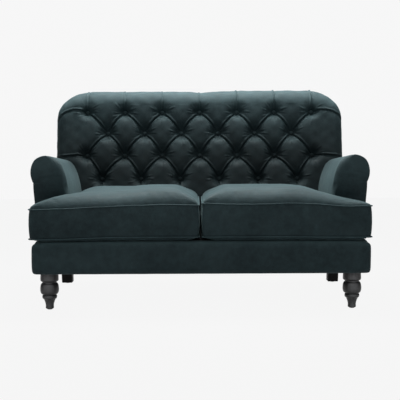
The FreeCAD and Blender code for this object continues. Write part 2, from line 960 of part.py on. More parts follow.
def arm_frame():
    post_front = arm_front_y + cover_thickness + facing_board_thickness
    post_rear = post_front + rail_thickness
    rail_low = arm_rail_top_z - arm_rail_thickness
    inner = arm_frame_inner_x
    outer = frame_half_width
    post = box(inner, outer, post_front, post_rear, rail_top_z, rail_low)
    tongue_inner = rail_inner_x - post_thickness
    tongue = box(tongue_inner, rail_inner_x, post_front, post_rear, block_top_z, rail_top_z)
    post = post.fuse(tongue).removeSplitter()
    to_post = in_front_of_rear(outside_back_thickness + post_depth)
    rail = box(inner, outer, post_front, overall_depth, rail_low, arm_rail_top_z).common(to_post)
    tack_top = arm_tack_bottom_z + arm_tack_height
    tack = box(inner, inner + arm_tack_thickness, post_rear, overall_depth, arm_tack_bottom_z, tack_top)
    return post, rail, tack.common(to_post)


def arm_linings():
    start = arm_front_y + cover_thickness + facing_board_thickness
    inner = box(
        arm_frame_inner_x - inner_lining_thickness,
        arm_frame_inner_x,
        start,
        overall_depth,
        seat_z,
        arm_rail_top_z,
    )
    outer = box(
        frame_half_width,
        frame_half_width + arm_lining_thickness,
        start,
        overall_depth,
        seat_z,
        arm_notch_z - fit_gap,
    ).common(in_front_of_rear(outside_back_thickness))
    return ahead_of_back(inner, cover_thickness), outer


def outside_arm():
    inner = frame_half_width + arm_lining_thickness
    front = arm_front_y + cover_thickness
    points = [
        vec(frame_half_width, front, seat_z),
        vec(outside_arm_front_x, front, seat_z),
        vec(outside_arm_rear_x, overall_depth, seat_z),
        vec(inner, overall_depth, seat_z),
        vec(inner, front + facing_board_thickness, seat_z),
        vec(frame_half_width, front + facing_board_thickness, seat_z),
    ]
    panel = prism(points, vec(0, 0, arm_notch_z - fit_gap - seat_z))
    return panel.common(in_front_of_rear(outside_back_thickness))


# Base upholstery: wadding round the front and sides of the rails, and the cover over it.
def base_shell(skin):
    half = base_half_width - skin
    front = base_cover_front_y + skin
    shell = box(-half, half, front, frame_rear_y, base_cover_bottom_z + skin, base_top_z - skin)
    uprights = [
        e
        for e in shell.Edges
        if e.BoundBox.ZLength > base_corner and e.BoundBox.YMax < front + base_corner
    ]
    shell = shell.makeFillet(base_corner - skin, uprights)
    high = base_top_z - skin - fit_gap
    rim = [
        e
        for e in shell.Edges
        if e.BoundBox.ZMin > high and e.BoundBox.YMin < frame_rear_y - base_corner
    ]
    return shell.makeFillet(base_top_round - skin, rim)


def base_upholstery():
    outer = base_shell(0)
    inner = base_shell(cover_thickness)
    ears = arm_front_y - fit_gap
    top_opening = [
        box(-deck_half_width, deck_half_width, deck_front_y, overall_depth, hessian_z, overall_height),
        box(-frame_half_width, frame_half_width, ears, overall_depth, leg_height, overall_height),
    ]
    under = box(
        -frame_half_width + base_side_turn,
        frame_half_width - base_side_turn,
        base_cover_front_y + base_turn_under,
        overall_depth,
        -overrun,
        leg_height,
    )
    wadding_low = hessian_z + hessian_thickness
    timber = box(
        -frame_half_width, frame_half_width, frame_front_y, overall_depth, -overrun, wadding_low
    )
    leg_inner = rear_leg_outer_x - rear_leg_top_width - dust_gap
    leg_front = rear_leg_top_front_y - dust_gap
    leg_room = box(leg_inner, base_half_width - cover_thickness, leg_front, overall_depth, 0, leg_height)
    cover = outer.cut(inner).cut(top_opening).cut([under, leg_room, flip(leg_room)])
    wadding = inner.cut(top_opening).cut(timber)
    return cover, wadding


def dust_cover():
    edge = base_turn_under + dust_gap
    half = frame_half_width - base_side_turn - dust_gap
    sheet = box(
        -half,
        half,
        base_cover_front_y + edge,
        frame_rear_y,
        leg_height - dust_gap,
        leg_height,
    )
    leg_room = dust_gap
    cuts = []
    for side in (-1, 1):
        x = side * front_leg_x
        top = vec(x, front_leg_y, overall_height)
        cuts.append(rod(collar_radius + leg_room, vec(x, front_leg_y, 0), top))
    inner = rear_leg_outer_x - rear_leg_top_width - leg_room
    rear = box(inner, overall_width, rear_leg_top_front_y - leg_room, overall_depth, 0, overall_height)
    return sheet.cut(cuts + [rear, flip(rear)])


# Seat platform. Each spring is a wire bent from side to side, with half turns at its bends,
# and its ends lie across the rails in a clip each.
def spring_ends():
    return frame_front_y + clip_inset, frame_rear_y - clip_inset


def spring_path(x):
    near, far = spring_ends()
    z = rail_top_z + clip_height / 2
    pitch = (far - near) / spring_bends
    radius = pitch / 2
    edges = []
    for i in range(spring_bends):
        side = 1 if i % 2 == 0 else -1
        y = near + i * pitch
        reach = spring_half_width - radius
        start = 0 if i == 0 else -side * reach
        edges.append(line(vec(x + start, y, z), vec(x + side * reach, y, z)))
        bend = vec(x + side * spring_half_width, y + radius, z)
        edges.append(arc(vec(x + side * reach, y, z), bend, vec(x + side * reach, y + pitch, z)))
    last = 1 if (spring_bends - 1) % 2 == 0 else -1
    edges.append(line(vec(x + last * (spring_half_width - radius), far, z), vec(x, far, z)))
    return Part.Wire(edges)


def seat_spring(x):
    near = spring_ends()[0]
    z = rail_top_z + clip_height / 2
    ring = Part.Wire(Part.makeCircle(spring_wire_radius, vec(x, near, z), vec(1, 0, 0)))
    return spring_path(x).makePipeShell([ring], True, False)


def spring_clip(x, y):
    z = rail_top_z
    half = clip_width / 2
    clip = box(x - half, x + half, y - clip_depth / 2, y + clip_depth / 2, z, z + clip_height)
    wire_z = z + clip_height / 2
    start = vec(x - clip_width, y, wire_z)
    bore = rod(spring_wire_radius + bore_gap, start, vec(x + clip_width, y, wire_z))
    return clip.cut(bore)


def spring_columns():
    reach = deck_half_width * spring_span_share
    return [reach * (2 * i / (spring_count - 1) - 1) for i in range(spring_count)]


def seat_sheets():
    half = deck_half_width - fit_gap
    front = frame_front_y + clip_inset - clip_depth / 2
    hessian = box(-half, half, front, frame_rear_y, hessian_z, hessian_z + hessian_thickness)
    felt = box(-half, half, deck_front_y + fit_gap, deck_rear_y, felt_z, felt_z + felt_thickness)
    cloth = box(-half, half, deck_front_y + fit_gap, deck_rear_y, deck_cloth_z, deck_top_z)
    front_m = hessian_back_m() + hessian_thickness + fit_gap
    rear_space = rear_layer(front_m, 0, -overall_height, overall_height, overall_width)
    return hessian, felt.cut(rear_space), cloth.cut(rear_space)


# Seat cushions. An outline has an ear in front of the arm. Its six corners are rounded,
# and a crown step draws each side in by its own share.
def cushion_outline(z, draw, inset, radius):
    slant = (z - base_top_z) * lean_sin / lean_cos * cushion_lift_slant_share
    inner = cushion_inner_x
    ear = cushion_ear_half_width - piping_reach
    main = arm_inner_x - cushion_play - piping_reach
    front = front_y + piping_reach
    notch = arm_piping_y - arm_piping_radius - cushion_play - piping_reach
    rear = cushion_rear_y + slant
    width = main - inner
    depth = rear - front
    left = inner + inset + draw * crown_inner_share * width
    right = main - inset - draw * crown_outer_share * width
    low = front + inset + draw * crown_front_share * depth
    high = rear - inset - draw * crown_rear_share * depth
    step = notch - inset
    tip = ear - inset - draw * (crown_outer_share * width + crown_ear_share * (ear - main))
    corners = [
        vec(left, low, z),
        vec(tip, low, z),
        vec(tip, step, z),
        vec(right, step, z),
        vec(right, high, z),
        vec(left, high, z),
    ]
    radii = [radius - inset] * 6
    radii[3] = cushion_notch_radius + inset
    tight = 1 - crown_corner_share * draw
    return rounded(corners, [r * tight for r in radii])


def rounded(corners, radii):
    edges = []
    points = []
    count = len(corners)
    for i in range(count):
        here = corners[i]
        back = (corners[i - 1] - here).normalize()
        ahead = (corners[(i + 1) % count] - here).normalize()
        start = here + back * radii[i]
        end = here + ahead * radii[i]
        middle = here + (back + ahead) * (radii[i] * (1 - math.sqrt(0.5)))
        points.append((start, middle, end))
    for i in range(count):
        start, middle, end = points[i]
        edges.append(arc(start, middle, end))
        edges.append(line(end, points[(i + 1) % count][0]))
    return Part.Wire(edges)


def cushion_body(skin):
    radius = cushion_corner_radius
    low = seat_z + skin
    seam_low = cushion_bottom_seam_z
    seam_high = cushion_top_seam_z
    middle = (seam_low + seam_high) / 2
    under = (low + seam_low) / 2
    quarter = (seam_high - seam_low) / 4
    side_share = math.sin(math.pi / 4)
    low_radius = radius + cushion_under_inset
    sections = [
        cushion_outline(low, 0, skin + cushion_under_inset, low_radius),
        cushion_outline(under, 0, skin + cushion_under_inset * under_round_share, low_radius),
        cushion_outline(seam_low, 0, skin, radius),
        cushion_outline(middle - quarter, 0, skin - cushion_bulge * side_share, radius),
        cushion_outline(middle, 0, skin - cushion_bulge, radius),
        cushion_outline(middle + quarter, 0, skin - cushion_bulge * side_share, radius),
        cushion_outline(seam_high, 0, skin, radius),
    ]
    for i in range(1, crown_steps + 1):
        turn = math.pi / 2 * i / crown_steps
        z = seam_high + (cushion_crown - skin) * math.sin(turn)
        sections.append(cushion_outline(z, 1 - math.cos(turn), skin, radius))
    return Part.makeLoft(sections, True, True)


def cushion_piping():
    tubes = []
    for z in (cushion_bottom_seam_z, cushion_top_seam_z):
        path = cushion_outline(z, 0, -cushion_piping_radius - fit_gap, cushion_corner_radius)
        start = path.Edges[1].valueAt(path.Edges[1].FirstParameter)
        way = path.Edges[1].tangentAt(path.Edges[1].FirstParameter)
        ring = Part.Wire(Part.makeCircle(cushion_piping_radius, start, way))
        tubes.append(path.makePipeShell([ring], True, False))
    return tubes


# The whole sofa
def build_legs():
    blocks = []
    bolts = []
    nuts = []
    glides = []
    screws = []
    screw_holes = []
    places = (
        (rail_inner_x, front_rail_inner_y, 1, front_leg_x, front_leg_y, front_leg_x, front_leg_y),
        (post_inner_x, rear_rail_inner_y, -1, rear_bolt_x, rear_bolt_y, rear_glide_x(), rear_glide_y()),
    )
    for corner_x, corner_y, way_y, bolt_x, bolt_y, glide_x, glide_y in places:
        lines = block_screw_lines(corner_x, corner_y, way_y)
        holes = [screw_hole(head, tip) for head, tip in lines]
        block = corner_block(corner_x, corner_y, way_y, bolt_x, bolt_y).cut(holes)
        blocks.append(block)
        bolts.append(hanger_bolt(bolt_x, bolt_y))
        nuts.append(tee_nut(bolt_x, bolt_y))
        glides.append(glide(glide_x, glide_y))
        screws += [screw(head, tip) for head, tip in lines]
        screw_holes += holes
    save_pair("front_leg", front_leg())
    save_pair("rear_leg", rear_leg())
    save("corner_blocks", *both(blocks))
    save("hanger_bolts", *both(bolts))
    save("tee_nuts", *both(nuts))
    save("foot_glides", *both(glides))
    save("corner_block_screws", *both(screws))
    return both(screw_holes)


def both(shapes):
    return shapes + [flip(shape) for shape in shapes]


def build_frame(screw_holes):
    front, rear, side, centre = seat_rails()
    lines = dowel_lines()
    dowels = [rod(dowel_radius, start, end) for start, end in lines]
    sockets = []
    for start, end in lines:
        spare = (end - start).normalize() * bore_gap
        sockets.append(rod(dowel_radius + bore_gap, start - spare, end + spare))
    holes = screw_holes + sockets
    post = back_post()
    save("front_rail", front.cut(holes))
    save("rear_rail", rear.cut(holes))
    save("side_rail_left", flip(side).cut(holes))
    save("side_rail_right", side.cut(holes))
    save("centre_rail", centre.cut(holes))
    save("frame_dowels", *dowels)
    save("back_post_left", flip(post).cut(holes))
    save("back_post_right", post.cut(holes))
    top, tack, middle = back_rails()
    save("back_top_rail", top)
    save("back_tack_rail", tack)
    save("back_centre_post", middle)


def build_platform():
    springs = [seat_spring(x) for x in spring_columns()]
    clips = [spring_clip(x, y) for x in spring_columns() for y in spring_ends()]
    hessian, felt, cloth = seat_sheets()
    save("seat_springs", *springs)
    save("spring_clips", *clips)
    save("seat_hessian", hessian)
    save("seat_felt", felt)
    save("seat_deck_cloth", cloth)


def build_base():
    cover, wadding = base_upholstery()
    save("base_cover", cover)
    save("base_wadding", wadding)
    save("dust_cover", dust_cover())


def build_arms():
    post, rail, tack = arm_frame()
    cover, pad = arm_upholstery()
    inner_lining, outer_lining = arm_linings()
    save_pair("arm_post", post)
    save_pair("arm_top_rail", rail)
    save("arm_tack_rails", *both([tack]))
    save("arm_linings", *both([inner_lining, outer_lining]))
    save("arm_facing_boards", *both([arm_facing_board()]))
    save_pair("arm_pad", pad)
    save_pair("arm_cover", cover)
    save_pair("arm_facing", arm_facing())
    save_pair("arm_piping", arm_piping())
    save_pair("outside_arm", outside_arm())
    return both([rail, tack])


def build_back(arm_timbers):
    cover, tuft_foam, wedge_foam = back_layers(arm_timbers)
    places = [place for row in button_places() for place in row]
    save("back_cover", cover)
    save("back_tuft_foam", tuft_foam)
    save("back_wedge_foam", wedge_foam)
    save("outside_back", outside_back())
    save("back_hessian", back_hessian(arm_timbers))
    save("back_webbing", *back_straps())
    save("back_buttons", *[button(x, u) for x, u in places])
    save("button_twines", *[twine(x, u) for x, u in places])


def build_cushions():
    body = cushion_body(0)
    core = cushion_body(cushion_skin)
    piping = cushion_piping()
    cover = body.cut(core)
    save_pair("cushion_cover", cover)
    save_pair("cushion_core", core)
    save("cushion_piping_left", *[flip(tube) for tube in piping])
    save("cushion_piping_right", *piping)


def main():
    os.makedirs("parts", exist_ok=True)
    screw_holes = build_legs()
    build_frame(screw_holes)
    build_platform()
    build_base()
    arm_timbers = build_arms()
    build_back(arm_timbers)
    build_cushions()


main()
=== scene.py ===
import json
import math

import bmesh
import bpy
from mathutils import Euler, Matrix, Vector


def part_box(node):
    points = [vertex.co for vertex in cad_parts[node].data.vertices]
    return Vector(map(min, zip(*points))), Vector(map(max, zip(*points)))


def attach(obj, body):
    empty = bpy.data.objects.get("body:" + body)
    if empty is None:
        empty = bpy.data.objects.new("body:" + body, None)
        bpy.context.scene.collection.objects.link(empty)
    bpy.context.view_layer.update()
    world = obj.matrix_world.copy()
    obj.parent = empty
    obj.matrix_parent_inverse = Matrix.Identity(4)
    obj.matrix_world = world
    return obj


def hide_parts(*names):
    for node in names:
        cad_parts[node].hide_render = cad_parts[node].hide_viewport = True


bl_info = {
    "name": "Button back sofa",
    "version": (1, 0, 0),
    "blender": (4, 5, 0),
    "location": "3D View > Sidebar > Sofa",
    "description": "Builds the dressed form of a two seat button back sofa on its packed frame",
    "category": "Object",
}

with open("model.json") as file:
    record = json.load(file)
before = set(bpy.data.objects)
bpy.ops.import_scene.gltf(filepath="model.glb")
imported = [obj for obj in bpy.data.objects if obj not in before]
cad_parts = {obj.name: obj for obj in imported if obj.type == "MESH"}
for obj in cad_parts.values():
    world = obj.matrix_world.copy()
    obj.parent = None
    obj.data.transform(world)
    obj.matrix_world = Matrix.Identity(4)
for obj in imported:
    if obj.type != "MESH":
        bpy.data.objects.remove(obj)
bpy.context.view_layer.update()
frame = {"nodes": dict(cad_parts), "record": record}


# Sizes and colours that a user may change
class SofaSizes(bpy.types.PropertyGroup):
    back_half_width: bpy.props.FloatProperty(
        name="Back half width", description="From the middle to the back's side", default=0.730, unit="LENGTH"
    )
    back_front_y: bpy.props.FloatProperty(
        name="Back foot", description="Y of the front face at the seat line", default=0.150, unit="LENGTH"
    )
    back_lean: bpy.props.FloatProperty(
        name="Back lean", description="Lean of the front face", default=math.radians(10.5), unit="ROTATION"
    )
    back_rake: bpy.props.FloatProperty(
        name="Rear rake", description="Lean of the rear face", default=math.radians(5.9455), unit="ROTATION"
    )
    back_rear_y: bpy.props.FloatProperty(
        name="Rear foot", description="Y of the rear face at the seat line", default=0.395, unit="LENGTH"
    )
    seat_line: bpy.props.FloatProperty(
        name="Seat line", description="Height of the seat platform's top", default=0.302, unit="LENGTH"
    )
    back_top: bpy.props.FloatProperty(
        name="Back height", description="The back's length up its slope", default=0.7183, unit="LENGTH"
    )
    edge_round: bpy.props.FloatProperty(
        name="Edge round", description="Radius of the back's front edge", default=0.050, unit="LENGTH"
    )
    tuft_depth: bpy.props.FloatProperty(
        name="Tuft depth", description="How deep the buttons are pulled in", default=0.0345, unit="LENGTH"
    )
    pleat_share: bpy.props.FloatProperty(
        name="Pleat share", description="Depth of a pleat's middle as a share of the tuft depth", default=0.50
    )
    pleat_reach: bpy.props.FloatProperty(
        name="Pleat reach", description="How far a pleat draws the padding down", default=0.066, unit="LENGTH"
    )
    fold_step: bpy.props.FloatProperty(
        name="Fold step", description="How far upper cloth lies over lower", default=0.0062, unit="LENGTH"
    )
    wrinkle: bpy.props.FloatProperty(
        name="Wrinkle", description="Height of the creases round a button", default=0.0022, unit="LENGTH"
    )
    roll_radius: bpy.props.FloatProperty(
        name="Roll radius", description="Radius of the arm's roll at its front", default=0.075, unit="LENGTH"
    )
    roll_rear_radius: bpy.props.FloatProperty(
        name="Rear roll", description="Radius of the roll beside the back", default=0.068, unit="LENGTH"
    )
    cushion_voxel: bpy.props.FloatProperty(
        name="Cushion mesh", description="Size of the cushions' cloth mesh", default=0.006, unit="LENGTH"
    )
    cushion_travel: bpy.props.FloatProperty(
        name="Cushion swell", description="How far the cushions' cloth may move", default=0.011, unit="LENGTH"
    )


class SofaColours(bpy.types.PropertyGroup):
    velvet: bpy.props.FloatVectorProperty(
        name="Velvet", description="The pile seen straight on", subtype="COLOR",
        default=(0.0064, 0.0150, 0.0178)
    )
    # The lighter velvet colour serves two purposes. It gives the brushed patches of the pile. It also gives
    # the painted light, blended in where the surface looks up, along the top of the back and on the arms'
    # fronts.
    brushed_and_lit_velvet: bpy.props.FloatVectorProperty(
        name="Brushed velvet", description="The pile where it is brushed over", subtype="COLOR",
        default=(0.066, 0.108, 0.116)
    )
    sheen: bpy.props.FloatVectorProperty(
        name="Sheen", description="The sheen of the pile", subtype="COLOR", default=(0.50, 0.74, 0.77)
    )
    leg_wood: bpy.props.FloatVectorProperty(
        name="Leg wood", description="The stained wood of the legs", subtype="COLOR",
        default=(0.048, 0.048, 0.049)
    )


class StageSettings(bpy.types.PropertyGroup):
    camera_place: bpy.props.FloatVectorProperty(
        name="Camera", description="Where the camera stands", unit="LENGTH",
        default=(-0.0193, -3.966, 0.666)
    )
    camera_lens: bpy.props.FloatProperty(
        name="Lens", description="Focal length in millimetres", default=74.31
    )
    camera_tilt: bpy.props.FloatProperty(
        name="Tilt", description="How far the camera looks down", default=math.radians(3.049), unit="ROTATION"
    )
    camera_turn: bpy.props.FloatProperty(
        name="Turn", description="How far it turns to the right", default=math.radians(0.271), unit="ROTATION"
    )
    camera_roll: bpy.props.FloatProperty(
        name="Roll", description="How far it leans to one side", default=math.radians(-0.241), unit="ROTATION"
    )
    paper: bpy.props.FloatProperty(
        name="Paper", description="Brightness of the floor and backdrop", default=0.927
    )


# Node helpers
def link_all(tree, pairs):
    for source, target in pairs:
        tree.links.new(source, target)


def new_group(name, inputs, outputs):
    group = bpy.data.node_groups.new(name, "ShaderNodeTree")
    for label, kind, value in inputs:
        socket = group.interface.new_socket(name=label, in_out="INPUT", socket_type="NodeSocket" + kind)
        if value is not None:
            socket.default_value = value
    for label, kind in outputs:
        group.interface.new_socket(name=label, in_out="OUTPUT", socket_type="NodeSocket" + kind)
    start = group.nodes.new("NodeGroupInput")
    end = group.nodes.new("NodeGroupOutput")
    return group, start.outputs, end.inputs


def add_node(tree, kind, **values):
    node = tree.nodes.new("ShaderNode" + kind)
    for key, value in values.items():
        setattr(node, key, value)
    return node


# Sets a socket to a number or colour, or links it to another node's output.
def feed(tree, socket, value):
    if isinstance(value, (int, float, tuple)):
        socket.default_value = value
    else:
        tree.links.new(value, socket)


def noise(tree, vector, scale, detail=2.0, roughness=0.5):
    node = add_node(tree, "TexNoise")
    for label, value in (("Scale", scale), ("Detail", detail), ("Roughness", roughness), ("Vector", vector)):
        feed(tree, node.inputs[label], value)
    return node.outputs["Fac"]


def remap(tree, value, low, high, to_low=0.0, to_high=1.0):
    node = add_node(tree, "MapRange")
    for label, number in (("From Min", low), ("From Max", high), ("To Min", to_low), ("To Max", to_high)):
        node.inputs[label].default_value = number
    tree.links.new(value, node.inputs["Value"])
    return node.outputs["Result"]


def math_node(tree, operation, a, b):
    node = add_node(tree, "Math", operation=operation)
    feed(tree, node.inputs[0], a)
    feed(tree, node.inputs[1], b)
    return node.outputs[0]


def times(tree, a, b):
    return math_node(tree, "MULTIPLY", a, b)


def plus(tree, a, b):
    return math_node(tree, "ADD", a, b)


def blend_colour(tree, factor, a, b, mode="MIX"):
    node = add_node(tree, "Mix", data_type="RGBA", blend_type=mode)
    for place, value in ((0, factor), (6, a), (7, b)):
        feed(tree, node.inputs[place], value)
    return node.outputs[2]


def axes_of(tree, vector):
    node = add_node(tree, "SeparateXYZ")
    tree.links.new(vector, node.inputs[0])
    return node.outputs


def rgba(colour, lift=1.0):
    return (colour[0] * lift, colour[1] * lift, colour[2] * lift, 1.0)


# Shared surface effects
surface_outputs = [("Colour", "Color"), ("Roughness", "Float"), ("Height", "Float")]


def end_group(group, end, colour, rough, height):
    link_all(group, [(colour, end["Colour"]), (rough, end["Roughness"]), (height, end["Height"])])
    return group


# Velvet pile: random lighter and darker patches of the pile, with painted light laid over them. Faces that
# look up are lighter, a painted highlight lies along the top of the back and on the arms' fronts, and painted
# shade lies low on the inner back.
def pile_and_light_group():
    group, start, end = new_group(
        "velvet_pile_and_light",
        [
            ("Vector", "Vector", None),
            ("Normal", "Vector", None),
            ("Pile", "Color", (0.02, 0.03, 0.03, 1)),
            ("Brushed", "Color", (0.04, 0.06, 0.06, 1)),
        ],
        surface_outputs,
    )
    place = start["Vector"]
    # Painted top light: faces that look up are blended towards the lighter velvet colour, standing for the
    # light from above.
    facing_up = axes_of(group, start["Normal"])[2]
    top_light = math_node(group, "POWER", remap(group, facing_up, -0.10, 0.92), 1.4)
    # Painted shade: low down and towards the back, on the inner back and the rear of the arms, the velvet's
    # colour is darkened to as little as 0.44, standing for the shade there.
    depth, height = axes_of(group, place)[1:3]
    behind = remap(group, depth, -0.10, 0.14)
    lower = remap(group, height, 0.90, 0.66)
    shade = remap(group, times(group, behind, lower), 0.0, 1.0, 1.0, 0.44)
    patches = remap(group, noise(group, place, 7.0, 3.0, 0.55), 0.36, 0.68)
    smudges = remap(group, noise(group, place, 38.0, 3.0, 0.6), 0.35, 0.70)
    tufts = noise(group, place, 420.0, 2.0, 0.7)
    fibres = noise(group, place, 1500.0, 1.0, 0.6)
    brushed_and_lit = times(group, plus(group, patches, smudges), 0.16)
    brushed_and_lit = plus(group, brushed_and_lit, times(group, top_light, 0.68))
    # Painted highlight: the pile is made lighter along the top of the back and over the arms' fronts,
    # standing for the light that falls there.
    spare = math_node(group, "SUBTRACT", 1.0, top_light)
    top_highlight = times(group, remap(group, height, 0.900, 0.965), behind)
    arm_front_highlight = times(group, remap(group, height, 0.53, 0.64), remap(group, depth, -0.22, -0.29))
    painted_highlight = plus(group, times(group, top_highlight, 0.50), times(group, arm_front_highlight, 0.24))
    brushed_and_lit = plus(group, brushed_and_lit, times(group, painted_highlight, spare))
    colour = blend_colour(group, brushed_and_lit, start["Pile"], start["Brushed"])
    # The grain's colour factor carries the painted shade.
    grain = times(group, remap(group, plus(group, tufts, fibres), 0.6, 1.4, 0.80, 1.18), shade)
    speck = blend_colour(group, 1.0, colour, grain, "MULTIPLY")
    rough = remap(group, smudges, 0.0, 1.0, 0.62, 0.78)
    relief = plus(group, times(group, tufts, 0.7), times(group, fibres, 0.3))
    return end_group(group, end, speck, rough, relief)


def weave_group():
    group, start, end = new_group(
        "woven_cloth",
        [
            ("Vector", "Vector", None),
            ("Threads", "Float", 400.0),
            ("Yarn", "Color", (0.4, 0.3, 0.2, 1)),
            ("Gap", "Color", (0.2, 0.15, 0.1, 1)),
        ],
        surface_outputs,
    )
    place = start["Vector"]
    waves = []
    for axis in axes_of(group, place):
        wave = math_node(group, "SINE", times(group, axis, start["Threads"]), 0.0)
        waves.append(math_node(group, "ABSOLUTE", wave, 0.0))
    highs = [math_node(group, "MAXIMUM", waves[a], waves[b]) for a, b in ((0, 1), (1, 2), (0, 2))]
    over = math_node(group, "MINIMUM", math_node(group, "MINIMUM", highs[0], highs[1]), highs[2])
    fuzz = noise(group, place, 260.0, 3.0, 0.6)
    slub = remap(group, noise(group, place, 22.0, 2.0, 0.5), 0.3, 0.7, 0.86, 1.10)
    mask = remap(group, times(group, over, plus(group, fuzz, 0.5)), 0.25, 0.85)
    colour = blend_colour(group, mask, start["Gap"], start["Yarn"])
    toned = blend_colour(group, 1.0, colour, slub, "MULTIPLY")
    rough = remap(group, fuzz, 0.3, 0.7, 0.80, 0.95)
    return end_group(group, end, toned, rough, mask)


# Painted light on the lacquer. Faces that look to the front are made up to 3.2 times lighter. Faces turned to
# the sides fall to 0.34, and faces that look down fall to a quarter. This stands for the front lamp's
# highlight and the shade beside and under the legs.
def front_light_group():
    group, start, end = new_group(
        "front_lit_lacquer",
        [("Normal", "Vector", None), ("Colour", "Color", (0.05, 0.05, 0.05, 1))],
        [("Colour", "Color")],
    )
    normal = axes_of(group, start["Normal"])
    front = remap(group, normal[1], -0.72, -1.0, 0.34, 3.2)
    under = remap(group, normal[2], -0.40, 0.28, 0.25, 1.0)
    colour = blend_colour(group, 1.0, start["Colour"], times(group, front, under), "MULTIPLY")
    group.links.new(colour, end["Colour"])
    return group


def grain_group():
    group, start, end = new_group(
        "wood_grain",
        [
            ("Vector", "Vector", None),
            ("Wood", "Color", (0.4, 0.3, 0.2, 1)),
            ("Grain", "Color", (0.2, 0.15, 0.1, 1)),
            ("Gloss", "Float", 0.4),
        ],
        surface_outputs,
    )
    place = start["Vector"]
    bent = add_node(group, "VectorMath", operation="MULTIPLY_ADD")
    feed(group, bent.inputs[0], noise(group, place, 3.0, 2.0, 0.5))
    feed(group, bent.inputs[1], (0.35, 0.35, 0.35))
    feed(group, bent.inputs[2], place)
    rings = add_node(group, "TexWave", wave_type="BANDS", bands_direction="X", wave_profile="SAW")
    for label, value in (("Scale", 9.0), ("Distortion", 5.0), ("Detail", 3.0), ("Vector", bent.outputs[0])):
        feed(group, rings.inputs[label], value)
    pores = noise(group, place, 90.0, 4.0, 0.65)
    streak = remap(group, plus(group, times(group, rings.outputs["Fac"], 0.55), pores), 0.45, 1.15)
    colour = blend_colour(group, streak, start["Wood"], start["Grain"])
    rough = plus(group, start["Gloss"], remap(group, pores, 0.3, 0.7, -0.06, 0.10))
    return end_group(group, end, colour, rough, pores)


def wear_group():
    group, start, end = new_group(
        "worn_finish",
        [
            ("Vector", "Vector", None),
            ("Fresh", "Color", (0.5, 0.5, 0.5, 1)),
            ("Worn", "Color", (0.3, 0.3, 0.3, 1)),
            ("Gloss", "Float", 0.4),
            ("Scale", "Float", 30.0),
        ],
        surface_outputs,
    )
    scaled = add_node(group, "VectorMath", operation="SCALE")
    link_all(group, [(start["Vector"], scaled.inputs[0]), (start["Scale"], scaled.inputs["Scale"])])
    cloud = noise(group, scaled.outputs[0], 1.0, 4.0, 0.6)
    grit = noise(group, scaled.outputs[0], 14.0, 2.0, 0.6)
    mask = remap(group, plus(group, cloud, times(group, grit, 0.35)), 0.52, 0.86)
    colour = blend_colour(group, mask, start["Fresh"], start["Worn"])
    rough = plus(group, start["Gloss"], remap(group, mask, 0.0, 1.0, 0.0, 0.18))
    return end_group(group, end, colour, rough, grit)


# Materials
def start_material(name):
    material = bpy.data.materials.new(name)
    material.use_nodes = True
    tree = material.node_tree
    return material, tree, tree.nodes["Principled BSDF"].inputs, add_node(tree, "TexCoord").outputs


def use_group(tree, group, links, **values):
    node = add_node(tree, "Group")
    node.node_tree = groups[group]
    for label, output in links.items():
        tree.links.new(output, node.inputs[label])
    for label, value in values.items():
        node.inputs[label].default_value = value
    return node.outputs


def finish_with(tree, shader, effect, distance, strength):
    bump = add_node(tree, "Bump")
    bump.inputs["Distance"].default_value = distance
    bump.inputs["Strength"].default_value = strength
    pairs = [
        (effect["Colour"], shader["Base Color"]),
        (effect["Roughness"], shader["Roughness"]),
        (effect["Height"], bump.inputs["Height"]),
        (bump.outputs["Normal"], shader["Normal"]),
    ]
    link_all(tree, pairs)


def set_shader(shader, values):
    for label, value in values.items():
        shader[label].default_value = value


def velvet_material(name, lift=1.0):
    colours = bpy.context.scene.sofa_colours
    material, tree, shader, place = start_material(name)
    links = {"Vector": place["Object"], "Normal": place["Normal"]}
    pile, brushed_and_lit = rgba(colours.velvet, lift), rgba(colours.brushed_and_lit_velvet, lift)
    effect = use_group(tree, "pile", links, Pile=pile, Brushed=brushed_and_lit)
    finish_with(tree, shader, effect, distance=0.0006, strength=0.35)
    look = {
        "Sheen Weight": 0.22,
        "Sheen Roughness": 0.36,
        "Sheen Tint": rgba(colours.sheen),
        "Specular IOR Level": 0.18,
    }
    set_shader(shader, look)
    return material


def cloth_material(name, threads, yarn, gap, distance=0.0008):
    material, tree, shader, place = start_material(name)
    links = {"Vector": place["Object"]}
    effect = use_group(tree, "weave", links, Threads=threads, Yarn=rgba(yarn), Gap=rgba(gap))
    finish_with(tree, shader, effect, distance, strength=0.6)
    set_shader(shader, {"Sheen Weight": 0.15, "Specular IOR Level": 0.2})
    return material


# Stretch draws the grain out along the wood, mirror is the strength of its reflection, and the last flag lays
# painted front light and shade over the colour.
def wood_material(name, wood, grain, gloss, stretch, mirror=0.5, painted_front_light=False):
    material, tree, shader, place = start_material(name)
    mapping = add_node(tree, "Mapping")
    feed(tree, mapping.inputs["Scale"], stretch)
    feed(tree, mapping.inputs["Vector"], place["Object"])
    links = {"Vector": mapping.outputs[0]}
    effect = use_group(tree, "grain", links, Wood=rgba(wood), Grain=rgba(grain), Gloss=gloss)
    finish_with(tree, shader, effect, distance=0.0003, strength=0.4)
    # Where asked, painted front light and shade are laid over the wood's colour.
    if painted_front_light:
        links = {"Normal": place["Normal"], "Colour": effect["Colour"]}
        worn_and_lit = use_group(tree, "painted_front_light", links)
        tree.links.new(worn_and_lit["Colour"], shader["Base Color"])
    set_shader(shader, {"Specular IOR Level": mirror})
    return material


def worn_material(name, fresh, worn_and_lit, gloss, scale, distance=0.0004, metal=0.0):
    material, tree, shader, place = start_material(name)
    links = {"Vector": place["Object"]}
    effect = use_group(tree, "wear", links, Fresh=rgba(fresh), Worn=rgba(worn_and_lit), Gloss=gloss, Scale=scale)
    finish_with(tree, shader, effect, distance, strength=0.4)
    set_shader(shader, {"Metallic": metal})
    return material


groups = {}
finishes = {}

